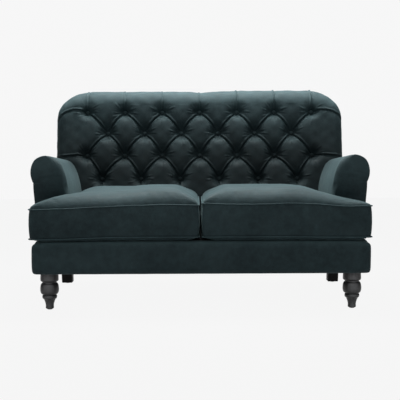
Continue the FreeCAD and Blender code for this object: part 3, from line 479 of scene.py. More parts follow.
# Threads, yarn, the gap between the threads and the relief
cloths = {
    "hessian": (1100.0, (0.40, 0.28, 0.15), (0.12, 0.08, 0.04), 0.0010),
    "platform_cloth": (2400.0, (0.020, 0.027, 0.030), (0.008, 0.010, 0.011)),
    "dust_cloth": (1900.0, (0.016, 0.016, 0.017), (0.005, 0.005, 0.005)),
    "webbing": (1500.0, (0.50, 0.42, 0.30), (0.18, 0.13, 0.08), 0.0010),
    "twine": (3000.0, (0.62, 0.55, 0.42), (0.32, 0.26, 0.18), 0.0005),
}

# Fresh and worn colour, roughness, size of the pattern, relief and metal
plain_finishes = {
    "lining_board": ((0.42, 0.33, 0.22), (0.30, 0.22, 0.14), 0.70, 60.0),
    "foam": ((0.80, 0.74, 0.52), (0.66, 0.58, 0.36), 0.85, 160.0, 0.0015),
    "wadding": ((0.82, 0.82, 0.80), (0.66, 0.66, 0.64), 0.92, 110.0, 0.0020),
    "felt": ((0.30, 0.29, 0.28), (0.18, 0.17, 0.17), 0.92, 140.0, 0.0015),
    "spring_steel": ((0.32, 0.33, 0.34), (0.18, 0.17, 0.16), 0.34, 45.0, 0.0004, 1.0),
    "zinc_steel": ((0.62, 0.62, 0.60), (0.44, 0.43, 0.40), 0.36, 70.0, 0.0004, 1.0),
    "glide_nylon": ((0.030, 0.030, 0.032), (0.075, 0.075, 0.078), 0.46, 90.0),
}


def make_finishes():
    groups["pile"] = pile_and_light_group()
    groups["weave"] = weave_group()
    groups["grain"] = grain_group()
    groups["painted_front_light"] = front_light_group()
    groups["wear"] = wear_group()
    finishes["velvet"] = velvet_material("velvet")
    finishes["piping_velvet"] = velvet_material("piping_velvet", 1.25)
    leg = bpy.context.scene.sofa_colours.leg_wood
    # Painted shade: the rear legs get a copy of the leg wood at 0.09 of its brightness, standing for the
    # shadow under the sofa.
    shaded_leg = [channel * 0.09 for channel in leg]
    shaded_leg_grain = [channel * 1.8 for channel in shaded_leg]
    light_grain = [channel * 1.3 for channel in leg]
    upright, crosswise = (6.0, 6.0, 0.9), (0.9, 6.0, 6.0)
    woods = {
        "leg_wood": (shaded_leg, shaded_leg_grain, 0.50, upright, 0.08),
        # The turned front legs take the painted front light and shade.
        "turned_wood": (leg, light_grain, 0.38, upright, 0.30, True),
        "frame_timber": ((0.52, 0.36, 0.20), (0.36, 0.22, 0.11), 0.62, crosswise),
    }
    for maker, table in ((wood_material, woods), (cloth_material, cloths), (worn_material, plain_finishes)):
        for name, values in table.items():
            finishes[name] = maker(name, *values)


# Points of a mesh that are nearer to each other than this are one.
doubles = 0.00002


# Pieces
def place_piece(name, mesh, finish, body="sofa"):
    piece = bpy.data.objects.new(name, mesh)
    bpy.context.scene.collection.objects.link(piece)
    mesh.materials.clear()
    mesh.materials.append(finishes[finish])
    mesh.polygons.foreach_set("use_smooth", [True] * len(mesh.polygons))
    mesh.update()
    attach(piece, body)
    return piece


def to_mesh(name, bm):
    mesh = bpy.data.meshes.new(name)
    bm.to_mesh(mesh)
    bm.free()
    return mesh


def smooth_step(low, high, value):
    share = min(1.0, max(0.0, (value - low) / (high - low)))
    return share * share * (3.0 - 2.0 * share)


# A bell curve: 1 at the middle, falling away on both sides.
def bell(value, middle, width):
    return math.exp(-(((value - middle) / width) ** 2))


# A slow wave through space, for the small give of stuffed cloth.
def ripple(x, y, z, length, seed):
    turn = 2.0 * math.pi / length
    first = math.sin(turn * (x + 0.37 * y) + seed) * math.sin(turn * (0.81 * z - 0.29 * x) + 1.7 * seed)
    second = math.sin(turn * 1.73 * (y - 0.44 * z) + 2.3 * seed)
    second *= math.sin(turn * 1.31 * (z + x) + 0.6 * seed)
    return 0.6 * first + 0.4 * second


# A velvet covered cord through some points.
def tube(name, points, radius, closed, body="sofa"):
    curve = bpy.data.curves.new(name, "CURVE")
    curve.dimensions = "3D"
    curve.bevel_depth = radius
    curve.bevel_resolution = 2
    curve.use_fill_caps = not closed
    spline = curve.splines.new("POLY")
    spline.points.add(len(points) - 1)
    for target, point in zip(spline.points, points):
        target.co = (point[0], point[1], point[2], 1.0)
    spline.use_cyclic_u = closed
    holder = bpy.data.objects.new(name + "_line", curve)
    bpy.context.scene.collection.objects.link(holder)
    bpy.context.view_layer.update()
    mesh = bpy.data.meshes.new_from_object(holder)
    bpy.data.objects.remove(holder)
    bm = bmesh.new()
    bm.from_mesh(mesh)
    bmesh.ops.remove_doubles(bm, verts=bm.verts, dist=doubles)
    bmesh.ops.recalc_face_normals(bm, faces=bm.faces)
    bm.to_mesh(mesh)
    bm.free()
    mesh.name = name
    return place_piece(name, mesh, "piping_velvet", body=body)


class SOFA_OT_stage(bpy.types.Operator):
    """Adds the pale floor, the soft lamps and the camera"""

    bl_idname = "sofa.stage"
    bl_label = "Stage"

    # Name, place, aim, size and power in watts
    lamps = (
        ("over", (0.0, 0.30, 2.15), (0.0, 0.10, 0.6), (2.0, 0.8), 62.0),
        ("front", (0.0, -3.6, 2.3), (0.0, -0.3, 0.45), (2.0, 1.0), 17.0),
        ("left", (-2.6, -3.2, 1.9), (0.0, 0.0, 0.5), (2.0, 2.0), 8.0),
        ("right", (2.6, -3.2, 1.9), (0.0, 0.0, 0.5), (2.0, 2.0), 6.0),
    )
    floor_size = 9.0
    floor_paint = (0.60, 0.60, 0.60, 1.0)
    room_tone = (0.20, 0.21, 0.215, 1.0)
    sensor_width = 36.0
    far_clip = 60.0

    def execute(self, context):
        scene = context.scene
        settings = scene.sofa_stage
        scene.view_settings.view_transform = "Standard"
        make_finishes()
        self.camera(scene, settings)
        self.floor(scene, settings.paper)
        self.world(scene, settings.paper)
        for lamp in self.lamps:
            self.lamp(scene, *lamp)
        return {"FINISHED"}

    # 1 for rays that see the background itself: the camera's, and the named kinds.
    def seen_rays(self, tree, *kinds):
        rays = add_node(tree, "LightPath")
        seen = rays.outputs["Is Camera Ray"]
        for kind in kinds:
            seen = math_node(tree, "MAXIMUM", seen, rays.outputs[kind])
        return seen

    def floor(self, scene, paper):
        bm = bmesh.new()
        bmesh.ops.create_grid(bm, x_segments=1, y_segments=1, size=self.floor_size)
        floor = bpy.data.objects.new("studio_floor", to_mesh("studio_floor", bm))
        scene.collection.objects.link(floor)
        material = bpy.data.materials.new("studio_paper")
        material.use_nodes = True
        tree = material.node_tree
        diffuse = tree.nodes["Principled BSDF"]
        set_shader(
            diffuse.inputs, {"Base Color": self.floor_paint, "Roughness": 0.95, "Specular IOR Level": 0.0}
        )
        glow = add_node(tree, "Emission")
        glow.inputs["Color"].default_value = (paper, paper, paper, 1.0)
        seen = self.seen_rays(tree, "Is Glossy Ray", "Is Transmission Ray")
        mix = add_node(tree, "MixShader")
        pairs = [
            (times(tree, seen, 0.978), mix.inputs[0]),
            (diffuse.outputs[0], mix.inputs[1]),
            (glow.outputs[0], mix.inputs[2]),
            (mix.outputs[0], tree.nodes["Material Output"].inputs["Surface"]),
        ]
        link_all(tree, pairs)
        floor.data.materials.append(material)

    def world(self, scene, paper):
        world = bpy.data.worlds.new("studio")
        scene.world = world
        world.use_nodes = True
        tree = world.node_tree
        back = tree.nodes["Background"]
        back.inputs["Strength"].default_value = 1.0
        seen = self.seen_rays(tree, "Is Transmission Ray")
        colour = blend_colour(tree, seen, self.room_tone, (paper, paper, paper, 1.0))
        tree.links.new(colour, back.inputs["Color"])

    def lamp(self, scene, name, place, target, size, power):
        data = bpy.data.lights.new("lamp_" + name, "AREA")
        data.shape = "RECTANGLE"
        data.size, data.size_y = size
        data.energy = power
        lamp = bpy.data.objects.new("lamp_" + name, data)
        scene.collection.objects.link(lamp)
        lamp.location = place
        lamp.rotation_euler = (Vector(target) - Vector(place)).to_track_quat("-Z", "Y").to_euler()

    def camera(self, scene, settings):
        data = bpy.data.cameras.new("camera")
        data.lens = settings.camera_lens
        data.sensor_width = self.sensor_width
        data.clip_end = self.far_clip
        camera = bpy.data.objects.new("camera", data)
        scene.collection.objects.link(camera)
        camera.location = settings.camera_place
        level = Euler((math.pi / 2 - settings.camera_tilt, 0.0, -settings.camera_turn), "XYZ").to_matrix()
        turn = level @ Matrix.Rotation(settings.camera_roll, 3, "Z")
        camera.rotation_euler = turn.to_euler()
        scene.camera = camera


class SOFA_OT_tufted_back(bpy.types.Operator):
    """Makes the deep buttoned velvet of the back, with its folds, hollows and creases"""

    bl_idname = "sofa.tufted_back"
    bl_label = "Tufted back"

    row_heights: bpy.props.FloatVectorProperty(
        name="Row heights", description="Height of each row of buttons up the slope", size=4,
        default=(0.601, 0.493, 0.378, 0.258), unit="LENGTH"
    )
    row_pitches: bpy.props.FloatVectorProperty(
        name="Row pitches", description="Spacing of the buttons in each row", size=4,
        default=(0.1906, 0.187, 0.1906, 0.198), unit="LENGTH"
    )
    side_corner: bpy.props.FloatProperty(
        name="Side corner", description="Radius of the corner's side part", default=0.122, unit="LENGTH"
    )
    top_corner: bpy.props.FloatProperty(
        name="Top corner", description="Radius of the corner's top part", default=0.212, unit="LENGTH"
    )

    row_counts = (7, 6, 7, 6)
    # Buttons of neighbouring rows that are less than this apart across have a fold between them.
    fold_span = 0.150
    # The two radii of an upper corner meet at this angle above the level.
    corner_split = math.radians(47.0)
    # The grid is fine over the buttoned face and coarser round the sides and the top.
    fine_x = 233
    coarse_x = 28
    fine_u = 254
    coarse_u = 24
    fine_reach = 0.700
    low_reach = -0.062
    coarse_cell = 0.0105
    # Buttons, folds and creases are sorted into square bins, so that a point meets only the near ones.
    bin_size = 0.05
    bin_pad = 0.085
    # Directions of the small creases round a button, in degrees from the right
    ray_angles = (-10, 14, 34, 58, 84, 112, 138, 158, 178, 200, 268)
    # The hollow round a button: its flat middle, its reach, and how much less it reaches above the button
    hollow_flat = 0.012
    hollow_reach = 0.041
    top_row_trim = 0.021
    trim = 0.010
    # How far a fold's line bows downwards at its middle
    fold_bow = 0.0075
    # What the roll along the top adds to the front edge's radius, upwards and backwards
    roll_up = 0.030
    roll_back = 0.010
    # The top edge: how much higher it is, more so on the right, and its dip at the middle
    top_rise = 0.0010
    right_rise = 0.0030
    middle_dip = 0.0060
    # Half of the greatest width between the arms' outside panels, and what it gains above them
    low_limit = 0.7172
    limit_gain = 0.0128
    # The velvet ends this far in from the frame's rear face, and this high above the floor.
    rear_inset = 0.0063
    foot_z = 0.3028

    def execute(self, context):
        self.sizes = context.scene.sofa_sizes
        self.prepare()
        bm = bmesh.new()
        across = 2 * (self.fine_x + self.coarse_x)
        up = self.fine_u + self.coarse_u
        bmesh.ops.create_grid(bm, x_segments=across, y_segments=up, size=0.5)
        for vert in bm.verts:
            a = self.across_at((vert.co.x + 0.5) * across)
            b = self.up_at((vert.co.y + 0.5) * up)
            vert.co = self.surface(a, b)
        self.close(bm)
        bmesh.ops.recalc_face_normals(bm, faces=bm.faces)
        piece = place_piece("tufted_back", to_mesh("tufted_back", bm), "velvet")
        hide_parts("back_cover", "back_tuft_foam", "back_wedge_foam")
        return {"FINISHED"}

    def across_at(self, index):
        step = index - (self.fine_x + self.coarse_x)
        side = 1.0 if step >= 0 else -1.0
        count = abs(step)
        cell = self.fine_reach / self.fine_x
        if count <= self.fine_x:
            return side * count * cell
        return side * (self.fine_reach + (count - self.fine_x) * self.coarse_cell)

    def up_at(self, index):
        cell = (self.fine_reach - self.low_reach) / self.fine_u
        if index <= self.fine_u:
            return self.low_reach + index * cell
        return self.fine_reach + (index - self.fine_u) * self.coarse_cell

    def prepare(self):
        s = self.sizes
        self.lean_sin = math.sin(s.back_lean)
        self.lean_cos = math.cos(s.back_lean)
        grow = self.top_corner - self.side_corner
        self.side_centre = (
            s.back_half_width - self.side_corner,
            s.back_top - self.top_corner + grow * math.sin(self.corner_split),
        )
        top_x = self.side_centre[0] - grow * math.cos(self.corner_split)
        self.top_centre = (top_x, s.back_top - self.top_corner)
        self.rows = []
        for height, pitch, count in zip(self.row_heights, self.row_pitches, self.row_counts):
            self.rows.append([((i - (count - 1) / 2) * pitch, height) for i in range(count)])
        places = [place for row in self.rows for place in row]
        self.rays = {place: self.ray_fan(index) for index, place in enumerate(places)}
        self.bins = {}
        for kind, items in (("fold", self.find_folds()), ("crease", self.find_creases()), ("button", places)):
            for item in items:
                self.sort_into_bins(kind, item)

    def find_folds(self):
        folds = []
        for row, below in zip(self.rows, self.rows[1:]):
            for x, u in row:
                for x2, u2 in below:
                    if abs(x - x2) < self.fold_span:
                        folds.append(((x, u), (x2, u2)))
        return folds

    # Each crease is its line, its depth, its reach to both sides and where it runs to.
    def find_creases(self):
        creases = []
        for x, u in self.rows[0]:
            creases.append(([(x, u), (x + 0.004, u + 0.07), (x + 0.002, u + 0.24)], 0.0055, 0.026, "top"))
        # Steps of the line from an outer button to the side: out, and up or down
        arc_steps = ((0.030, 0.010), (0.070, 0.011), (0.110, -0.002), (0.150, -0.030), (0.190, -0.066))
        sag_steps = ((0.05, -0.001), (0.11, -0.006), (0.23, -0.012))
        for side, last in ((-1, 0), (1, 6)):
            x, u = self.rows[0][last]
            rise = 1.0 if side < 0 else 0.72
            arc = [(x, u)] + [(x + side * out, u + up * rise) for out, up in arc_steps]
            creases.append((arc, 0.0045, 0.030, "side"))
            x, u = self.rows[2][last]
            sag = [(x, u)] + [(x + side * out, u + up) for out, up in sag_steps]
            creases.append((sag, 0.0070, 0.034, "side"))
        for x, u in self.rows[3]:
            creases.append(([(x, u), (x, u - 0.12), (x, u - 0.30)], 0.0130, 0.046, "foot"))
        return creases

    def ray_fan(self, index):
        fan = []
        for number, angle in enumerate(self.ray_angles):
            wobble = math.sin(3.1 * index + 2.3 * number + 0.7)
            reach = 0.5 + 0.5 * math.sin(1.9 * index + 4.1 * number)
            power = 0.55 + 0.45 * reach
            # The cloth above a button is drawn smoother, most of all over the top row.
            if 40 < angle < 130:
                power *= 0.30 if index < self.row_counts[0] else 0.55
            fan.append((math.radians(angle + 6.0 * wobble), 0.032 + 0.016 * reach, power))
        return fan

    def sort_into_bins(self, kind, item):
        points = [item] if kind == "button" else list(item) if kind == "fold" else item[0]
        spans = []
        for axis in range(2):
            low = min(point[axis] for point in points) - self.bin_pad
            high = max(point[axis] for point in points) + self.bin_pad
            spans.append(range(math.floor(low / self.bin_size), math.floor(high / self.bin_size) + 1))
        for i in spans[0]:
            for j in spans[1]:
                self.bins.setdefault((i, j), []).append((kind, item))

    # Depth of the cloth behind the back's outer face, where a is across and b up the slope.
    def depth(self, a, b):
        s = self.sizes
        height, nearest = 1.0, 1.0
        step, crease, fine = 0.0, 0.0, 0.0
        place = (math.floor(a / self.bin_size), math.floor(b / self.bin_size))
        for kind, item in self.bins.get(place, ()):
            if kind == "button":
                away = math.hypot(a - item[0], b - item[1])
                nearest = min(nearest, away)
                trim = self.top_row_trim if item in self.rows[0] else self.trim
                above = smooth_step(0.0, 0.020, b - item[1]) * trim
                share = max(0.0, 1.0 - max(0.0, away - self.hollow_flat) / (self.hollow_reach - above))
                height *= 1.0 - (1.0 - math.sqrt(1.0 - share * share))
                if 0.010 < away < 0.07:
                    fine += self.ray_height(item, a, b)
            elif kind == "fold":
                drop, edge = self.fold_shape(item, a, b)
                height *= 1.0 - drop
                step += edge
            else:
                dip, edge = self.crease_shape(item, a, b)
                crease += dip
                step += edge
        clear = smooth_step(0.010, 0.026, nearest)
        depth = s.tuft_depth * (1.0 - height) + crease * clear + step * clear + fine
        depth += 0.0012 * ripple(a, b, 0.3, 0.11, 1.3) * smooth_step(0.0, 0.03, nearest)
        return min(depth, s.tuft_depth + 0.0005)

    def fold_shape(self, fold, a, b):
        s = self.sizes
        (x0, u0), (x1, u1) = fold
        dx, du = x1 - x0, u1 - u0
        length = math.hypot(dx, du)
        t = ((a - x0) * dx + (b - u0) * du) / (length * length)
        side = 1.0 if dx > 0 else -1.0
        across = side * ((b - u0) * dx - (a - x0) * du) / length
        inner = min(1.0, max(0.0, t))
        beyond = abs(t - inner) * length
        across -= self.fold_bow * 4.0 * inner * (1.0 - inner)
        away = math.hypot(across, beyond)
        share = max(0.0, 1.0 - away / s.pleat_reach)
        if share <= 0.0:
            return 0.0, 0.0
        strength = s.pleat_share + (1.0 - s.pleat_share) * (2.0 * inner - 1.0) ** 2
        drop = strength * (1.0 - math.sqrt(1.0 - share * share))
        fade = bell(beyond, 0.0, 0.006) * (1.0 - 0.35 * smooth_step(0.55, 1.0, inner))
        if across >= 0.0:
            edge = -0.90 * s.fold_step * bell(away, 0.0052, 0.0038)
        else:
            inner_lip = bell(away, 0.0125, 0.0045) * (1.0 - smooth_step(0.25, 0.60, inner))
            edge = s.fold_step * (math.exp(-away / 0.0045) - 0.30 * inner_lip)
        return drop, edge * fade

    def crease_shape(self, crease, a, b):
        points, deep, reach, kind = crease
        best = None
        total = 0.0
        for (x0, u0), (x1, u1) in zip(points, points[1:]):
            dx, du = x1 - x0, u1 - u0
            length = math.hypot(dx, du)
            t = min(1.0, max(0.0, ((a - x0) * dx + (b - u0) * du) / (length * length)))
            away = math.hypot(a - x0 - t * dx, b - u0 - t * du)
            if best is None or away < best[0]:
                sign = (b - u0) * dx - (a - x0) * du
                if kind == "side" and dx < 0:
                    sign = -sign
                best = (away, sign, total + t * length)
            total += length
        away, sign, along = best
        share = max(0.0, 1.0 - away / reach)
        if share <= 0.0:
            return 0.0, 0.0
        if kind == "top":
            fade = 1.0 - 0.75 * smooth_step(0.05, 0.20, along)
        elif kind == "side":
            fade = 1.0 - smooth_step(0.12, 0.22, along)
        else:
            fade = 1.0
        dip = deep * fade * (1.0 - math.sqrt(1.0 - share * share))
        rim = bell(away, 0.0056, 0.0042)
        if kind == "top":
            lip = 0.0028 + 0.0036 * smooth_step(-0.05, 0.10, points[0][0])
            edge = 0.0026 * math.exp(-away / 0.005) if sign < 0 else -lip * rim
            edge *= 1.0 - smooth_step(0.12, 0.24, along)
            # A small pucker where the crease turns over the back's upper edge
            edge -= 0.0042 * bell(along, 0.165, 0.030) * bell(away, 0.0, 0.0055)
            return dip, edge
        edge = 0.0046 * math.exp(-away / 0.006) if sign < 0 else -0.0048 * rim
        return dip, edge * fade

    def ray_height(self, place, a, b):
        total = 0.0
        for angle, reach, power in self.rays[place]:
            c, s = math.cos(angle), math.sin(angle)
            along = (a - place[0]) * c + (b - place[1]) * s
            off = -(a - place[0]) * s + (b - place[1]) * c
            if along < 0.006 or abs(off) > 0.015:
                continue
            line = 0.50 * bell(off, 0.0, 0.0034) - 1.00 * bell(off, 0.0060, 0.0036)
            total += power * bell(along, reach, 0.017) * line
        return self.sizes.wrinkle * total

    # A point of the cloth: flat over the face, then round the front edge, then straight back.
    def surface(self, a, b):
        s = self.sizes
        way_x, way_u, beyond = self.outside(abs(a), b)
        side = 1.0 if a >= 0 else -1.0
        depth = self.depth(a, b)
        if beyond <= 0.0:
            x, u, n = abs(a), b, depth
        else:
            reach, deep = self.round_of(way_u)
            length = 0.5 * (reach + deep) * math.pi / 2
            turn = min(beyond / length, 1.0) * math.pi / 2
            straight = max(0.0, beyond - length)
            out = reach * math.sin(turn) - beyond
            fade = 1.0 - smooth_step(0.07, 0.16, beyond)
            pull = depth * fade + 0.0010 * ripple(a, b, 0.7, 0.16, 2.1)
            x = abs(a) + way_x * (out - pull * math.sin(turn))
            u = b + way_u * (out - pull * math.sin(turn))
            n = deep * (1.0 - math.cos(turn)) + straight + pull * math.cos(turn)
        y = s.back_front_y + u * self.lean_sin + n * self.lean_cos
        z = s.seat_line + u * self.lean_cos - n * self.lean_sin
        high = smooth_step(0.60, 0.70, u)
        rise = self.right_rise * smooth_step(0.08, 0.22, a) - self.middle_dip * bell(a, 0.0, 0.055)
        z += high * (rise + self.top_rise)
        limit = self.low_limit + self.limit_gain * smooth_step(0.541, 0.549, z)
        return Vector((side * min(x, limit), y, z))

    # The front edge is round: tighter down the sides, and a broad roll along the top.
    def round_of(self, way_u):
        edge = self.sizes.edge_round
        return edge + self.roll_up * way_u ** 4, edge + self.roll_back * way_u ** 4

    # The way out of the outline at a point, and how far it is past the start of the round edge.
    def outside(self, x, u):
        s = self.sizes
        cx, cu = self.side_centre
        tx, tu = self.top_centre
        if u <= cu:
            return 1.0, 0.0, x - (s.back_half_width - self.round_of(0.0)[0])
        if x <= tx:
            return 0.0, 1.0, u - (s.back_top - self.round_of(1.0)[0])
        radius = self.top_corner
        if math.atan2(u - cu, x - cx) <= self.corner_split and x > cx:
            tx, tu, radius = cx, cu, self.side_corner
        away = math.hypot(x - tx, u - tu)
        way = (u - tu) / away
        return (x - tx) / away, way, away - (radius - self.round_of(way)[0])

    # The skirt is drawn to a point behind, then cut off at the rear face and at the seat.
    def close(self, bm):
        s = self.sizes
        rim = [edge for edge in bm.edges if edge.is_boundary]
        grown = bmesh.ops.extrude_edge_only(bm, edges=rim)["geom"]
        ends = [item for item in grown if isinstance(item, bmesh.types.BMVert)]
        bmesh.ops.pointmerge(bm, verts=ends, merge_co=Vector((0.0, 0.70, 0.10)))
        rear = Vector((0.0, math.cos(s.back_rake), -math.sin(s.back_rake)))
        rear_co = Vector((0.0, s.back_rear_y, s.seat_line)) - rear * self.rear_inset
        down = Vector((0.0, 0.0, -1.0))
        for place, normal in ((rear_co, rear), (down * -self.foot_z, down)):
            cut = slice_at(bm, place, normal, clear_outer=True)
            loop = [item for item in cut if isinstance(item, bmesh.types.BMEdge)]
            bmesh.ops.edgeloop_fill(bm, edges=loop)


class SOFA_OT_arms(bpy.types.Operator):
    """Makes the rolled arms, their soft fronts and the piping on the front seams"""

    bl_idname = "sofa.arms"
    bl_label = "Rolled arms"

    half_width: bpy.props.FloatProperty(
        name="Half width", description="From the middle to the roll's side", default=0.760, unit="LENGTH"
    )
    inner_x: bpy.props.FloatProperty(
        name="Inner side", description="From the middle to the arm's inner side", default=0.592, unit="LENGTH"
    )
    frame_x: bpy.props.FloatProperty(
        name="Frame side", description="From the middle to the frame's side", default=0.718, unit="LENGTH"
    )
    facing_x: bpy.props.FloatProperty(
        name="Facing side", description="From the middle to the facing's side", default=0.7375, unit="LENGTH"
    )
    front_y: bpy.props.FloatProperty(
        name="Front", description="Y of the arm's front face", default=-0.2955, unit="LENGTH"
    )
    notch_z: bpy.props.FloatProperty(
        name="Notch", description="Height of the fold under the roll", default=0.545, unit="LENGTH"
    )
    foot_z: bpy.props.FloatProperty(
        name="Foot", description="Height of the arm's lower edge", default=0.3026, unit="LENGTH"
    )

    front_top = 0.670
    rear_top = 0.648
    # The inner side turns outwards by this angle before the roll begins.
    shoulder = math.radians(26.0)
    # Points of the outline up the inner side, round the shoulder, round the roll, down and back
    inner_count = 26
    shoulder_count = 14
    roll_count = 40
    notch_count = 3
    panel_count = 28
    foot_count = 10
    # Rows of the cover on each end's face, along the arm and round the front edge
    caps = 8
    spans = 44
    rounds = 10
    # The faces at both ends close on a line that leans outwards as it goes up.
    spine_x = 0.660
    spine_lean = 0.024
    spine_low = 0.345
    spine_high = 0.600
    # Y near the rear end, where the outline is read to find the back's face
    near_back_y = 0.22
    # From the front profile to the rear one
    run = 0.592
    # The facing's side stands out only in front of this place.
    facing_y = -0.2875
    facing_from_x = 0.700
    # The rounded front edge, width and depth: at the foot, the change up to the top, and at the seam
    foot_edge = (0.0108, 0.056)
    top_change = (0.0252, -0.038)
    seam_edge = (0.0042, 0.0045)
    # How far the soft front stands out at most
    puff_depth = 0.0080
    piping_radius = 0.0024
    # How far the cord is sunk into the seam, sideways and backwards
    piping_sink = 0.0016
    piping_back = 0.0022

    def execute(self, context):
        self.sizes = context.scene.sofa_sizes
        front = self.profile(self.sizes.roll_radius, self.front_top)
        self.heights = [point[1] for point in front]
        rear = self.profile(self.sizes.roll_rear_radius, self.rear_top)
        for side, word in ((-1, "left"), (1, "right")):
            self.cover(side, word, front, rear)
            self.piping(side, word, front)
        return {"FINISHED"}

    # The arm's outline from its inner foot up over the roll to the notch, down and back.
    def profile(self, radius, top):
        roll_x, roll_z = self.half_width - radius, top - radius
        shoulder_x = roll_x - radius * math.cos(self.shoulder)
        shoulder_z = roll_z + radius * math.sin(self.shoulder)
        long_radius = (shoulder_x - self.inner_x) / (1.0 - math.cos(self.shoulder))
        long_x, long_z = self.inner_x + long_radius, shoulder_z - long_radius * math.sin(self.shoulder)
        notch = math.pi + math.asin((roll_z - self.notch_z) / radius)
        points = []
        for i in range(self.inner_count):
            z = self.foot_z + (long_z - self.foot_z) * i / self.inner_count
            points.append((self.inner_x, z, -1.0, 0.0))
        for i in range(self.shoulder_count):
            angle = self.shoulder * i / self.shoulder_count
            c, n = math.cos(angle), math.sin(angle)
            points.append((long_x - long_radius * c, long_z + long_radius * n, -c, n))
        self.shoulder_mark = len(points)
        for i in range(self.roll_count + 1):
            angle = self.shoulder + (notch - self.shoulder) * i / self.roll_count
            c, n = math.cos(angle), math.sin(angle)
            points.append((roll_x - radius * c, roll_z + radius * n, -c, n))
        self.notch_mark = len(points) - 1
        notch_x = points[-1][0]
        for i in range(1, self.notch_count + 1):
            x = notch_x + (self.frame_x - notch_x) * i / self.notch_count
            points.append((x, self.notch_z - 0.0004 * i, 0.5, -0.5))
        for i in range(1, self.panel_count + 1):
            start = self.notch_z - 0.0012
            points.append((self.frame_x, start - (start - self.foot_z) * i / self.panel_count, 1.0, 0.0))
        for i in range(1, self.foot_count + 1):
            x = self.frame_x - (self.frame_x - self.inner_x) * i / self.foot_count
            points.append((x, self.foot_z, 0.0, -1.0))
        return points

    # 0 on the arm's inner side and top, 1 along the seam of the roll and below it.
    def seam_share(self, index):
        return smooth_step(self.shoulder_mark + 6, self.shoulder_mark + 14, index)

    # Width and depth of the rounded front edge: soft on the inner side and crisp along the seam.
    def edge_round(self, index):
        low = smooth_step(0.500, 0.580, self.heights[index])
        share = self.seam_share(index)
        width = self.foot_edge[0] + self.top_change[0] * low
        reach = self.foot_edge[1] + self.top_change[1] * min(1.0, 1.5 * low)
        seam_width, seam_reach = self.seam_edge
        return width + (seam_width - width) * share, reach + (seam_reach - reach) * share

    # How far the soft front stands out, at its edge and at its middle.
    def puff(self, index, z):
        share = self.seam_share(index)
        high = smooth_step(0.468, 0.518, z)
        return self.puff_depth * (1.0 - share) * high, self.puff_depth * high

    # Y of the inner back's face, which the arm's rear end lies against.
    def back_face(self, x, z):
        s = self.sizes
        y = s.back_front_y + (z - s.seat_line) * math.tan(s.back_lean)
        over = min(max(0.0, x - (s.back_half_width - s.edge_round)), s.edge_round)
        dip = s.edge_round - math.sqrt(max(0.0, s.edge_round * s.edge_round - over * over))
        return y + dip / math.cos(s.back_lean)

    def spine(self, z):
        length = self.spine_high - self.spine_low
        share = min(1.0, max(0.0, (z - self.spine_low) / length))
        return self.spine_x + self.spine_lean * share, self.spine_low + length * share

    # X and Z of an outline point at some Y: the arm narrows towards the back.
    def at(self, front, rear, index, y):
        share = (y - arm_frame_y) / self.run
        x = front[index][0] + (rear[index][0] - front[index][0]) * share
        z = front[index][1] + (rear[index][1] - front[index][1]) * share
        if index > self.notch_mark and y < self.facing_y and x > self.facing_from_x:
            x += (self.facing_x - self.frame_x) * min(1.0, (index - self.notch_mark) / self.notch_count)
            x += flare(z)
        return x, z

    # A point of the cover: row 0 is the spine at the back, and the last row the spine in front.
    def station(self, front, rear, index, row):
        nx, nz = front[index][2], front[index][3]
        if row < self.caps:
            edge_x, edge_z = self.at(front, rear, index, self.near_back_y)
            edge_y = self.back_face(edge_x, edge_z)
            edge_x, edge_z = self.at(front, rear, index, edge_y)
            sx, sz = self.spine(edge_z)
            share = row / self.caps
            x, z = sx + (edge_x - sx) * share, sz + (edge_z - sz) * share
            return x, self.back_face(x, z), z
        width, reach = self.edge_round(index)
        row -= self.caps
        if row <= self.spans:
            x, z = self.at(front, rear, index, self.near_back_y)
            end = self.back_face(x, z)
            start = self.front_y + reach
            share = 1.0 - row / self.spans
            y = start + (end - start) * share ** 1.15
            x, z = self.at(front, rear, index, y)
            return x, y, z
        row -= self.spans
        if row <= self.rounds:
            turn = math.pi / 2 * row / self.rounds
            y = self.front_y + reach * (1.0 - math.sin(turn))
            x, z = self.at(front, rear, index, y)
            y -= self.puff(index, z)[0] * math.sin(turn)
            inset = width * (1.0 - math.cos(turn))
            return x - nx * inset, y, z - nz * inset
        row -= self.rounds
        x, z = self.at(front, rear, index, self.front_y)
        x, z = x - nx * width, z - nz * width
        sx, sz = self.spine(z)
        share = row / self.caps
        edge = self.puff(index, z)[0]
        z += (sz - z) * share
        middle = self.puff(index, z)[1]
        return x + (sx - x) * share, self.front_y - edge - (middle - edge) * share * (2.0 - share), z

    def cover(self, side, word, front, rear):
        rows = self.caps + self.spans + self.rounds + self.caps
        count = len(front) - 1
        bm = bmesh.new()
        bmesh.ops.create_grid(bm, x_segments=count, y_segments=rows, size=0.5)
        for vert in bm.verts:
            index = round((vert.co.x + 0.5) * count)
            row = round((vert.co.y + 0.5) * rows)
            vert.co = self.settle(side, *self.station(front, rear, index, row))
        bmesh.ops.remove_doubles(bm, verts=bm.verts, dist=0.00005)
        bmesh.ops.recalc_face_normals(bm, faces=bm.faces)
        piece = place_piece("arm_velvet_" + word, to_mesh("arm_velvet_" + word, bm), "velvet")
        soften(piece)
        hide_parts("arm_cover_" + word, "arm_pad_" + word, "arm_facing_" + word)

    # Small give in the cloth, and the fold that runs in from the notch across the front.
    def settle(self, side, x, y, z):
        fold = 0.0
        if y < self.front_y + 0.012:
            line = 0.5455 + 0.036 * (1.0 - math.exp(-max(0.0, 0.745 - x) / 0.030))
            off = z - line
            step = -0.0016 * bell(off, 0.006, 0.006) if off > 0 else 0.0026 * math.exp(off / 0.010)
            fold = step * smooth_step(0.600, 0.680, x)
        # The widest part of the roll is pressed a little flat.
        x = min(x, 0.735 + (x - 0.735) * 0.75)
        give = 0.0011 * ripple(side * x, y, z, 0.150, 3.7)
        return Vector((side * (x + 0.4 * give), y + fold + 0.5 * give, z + 0.3 * give))

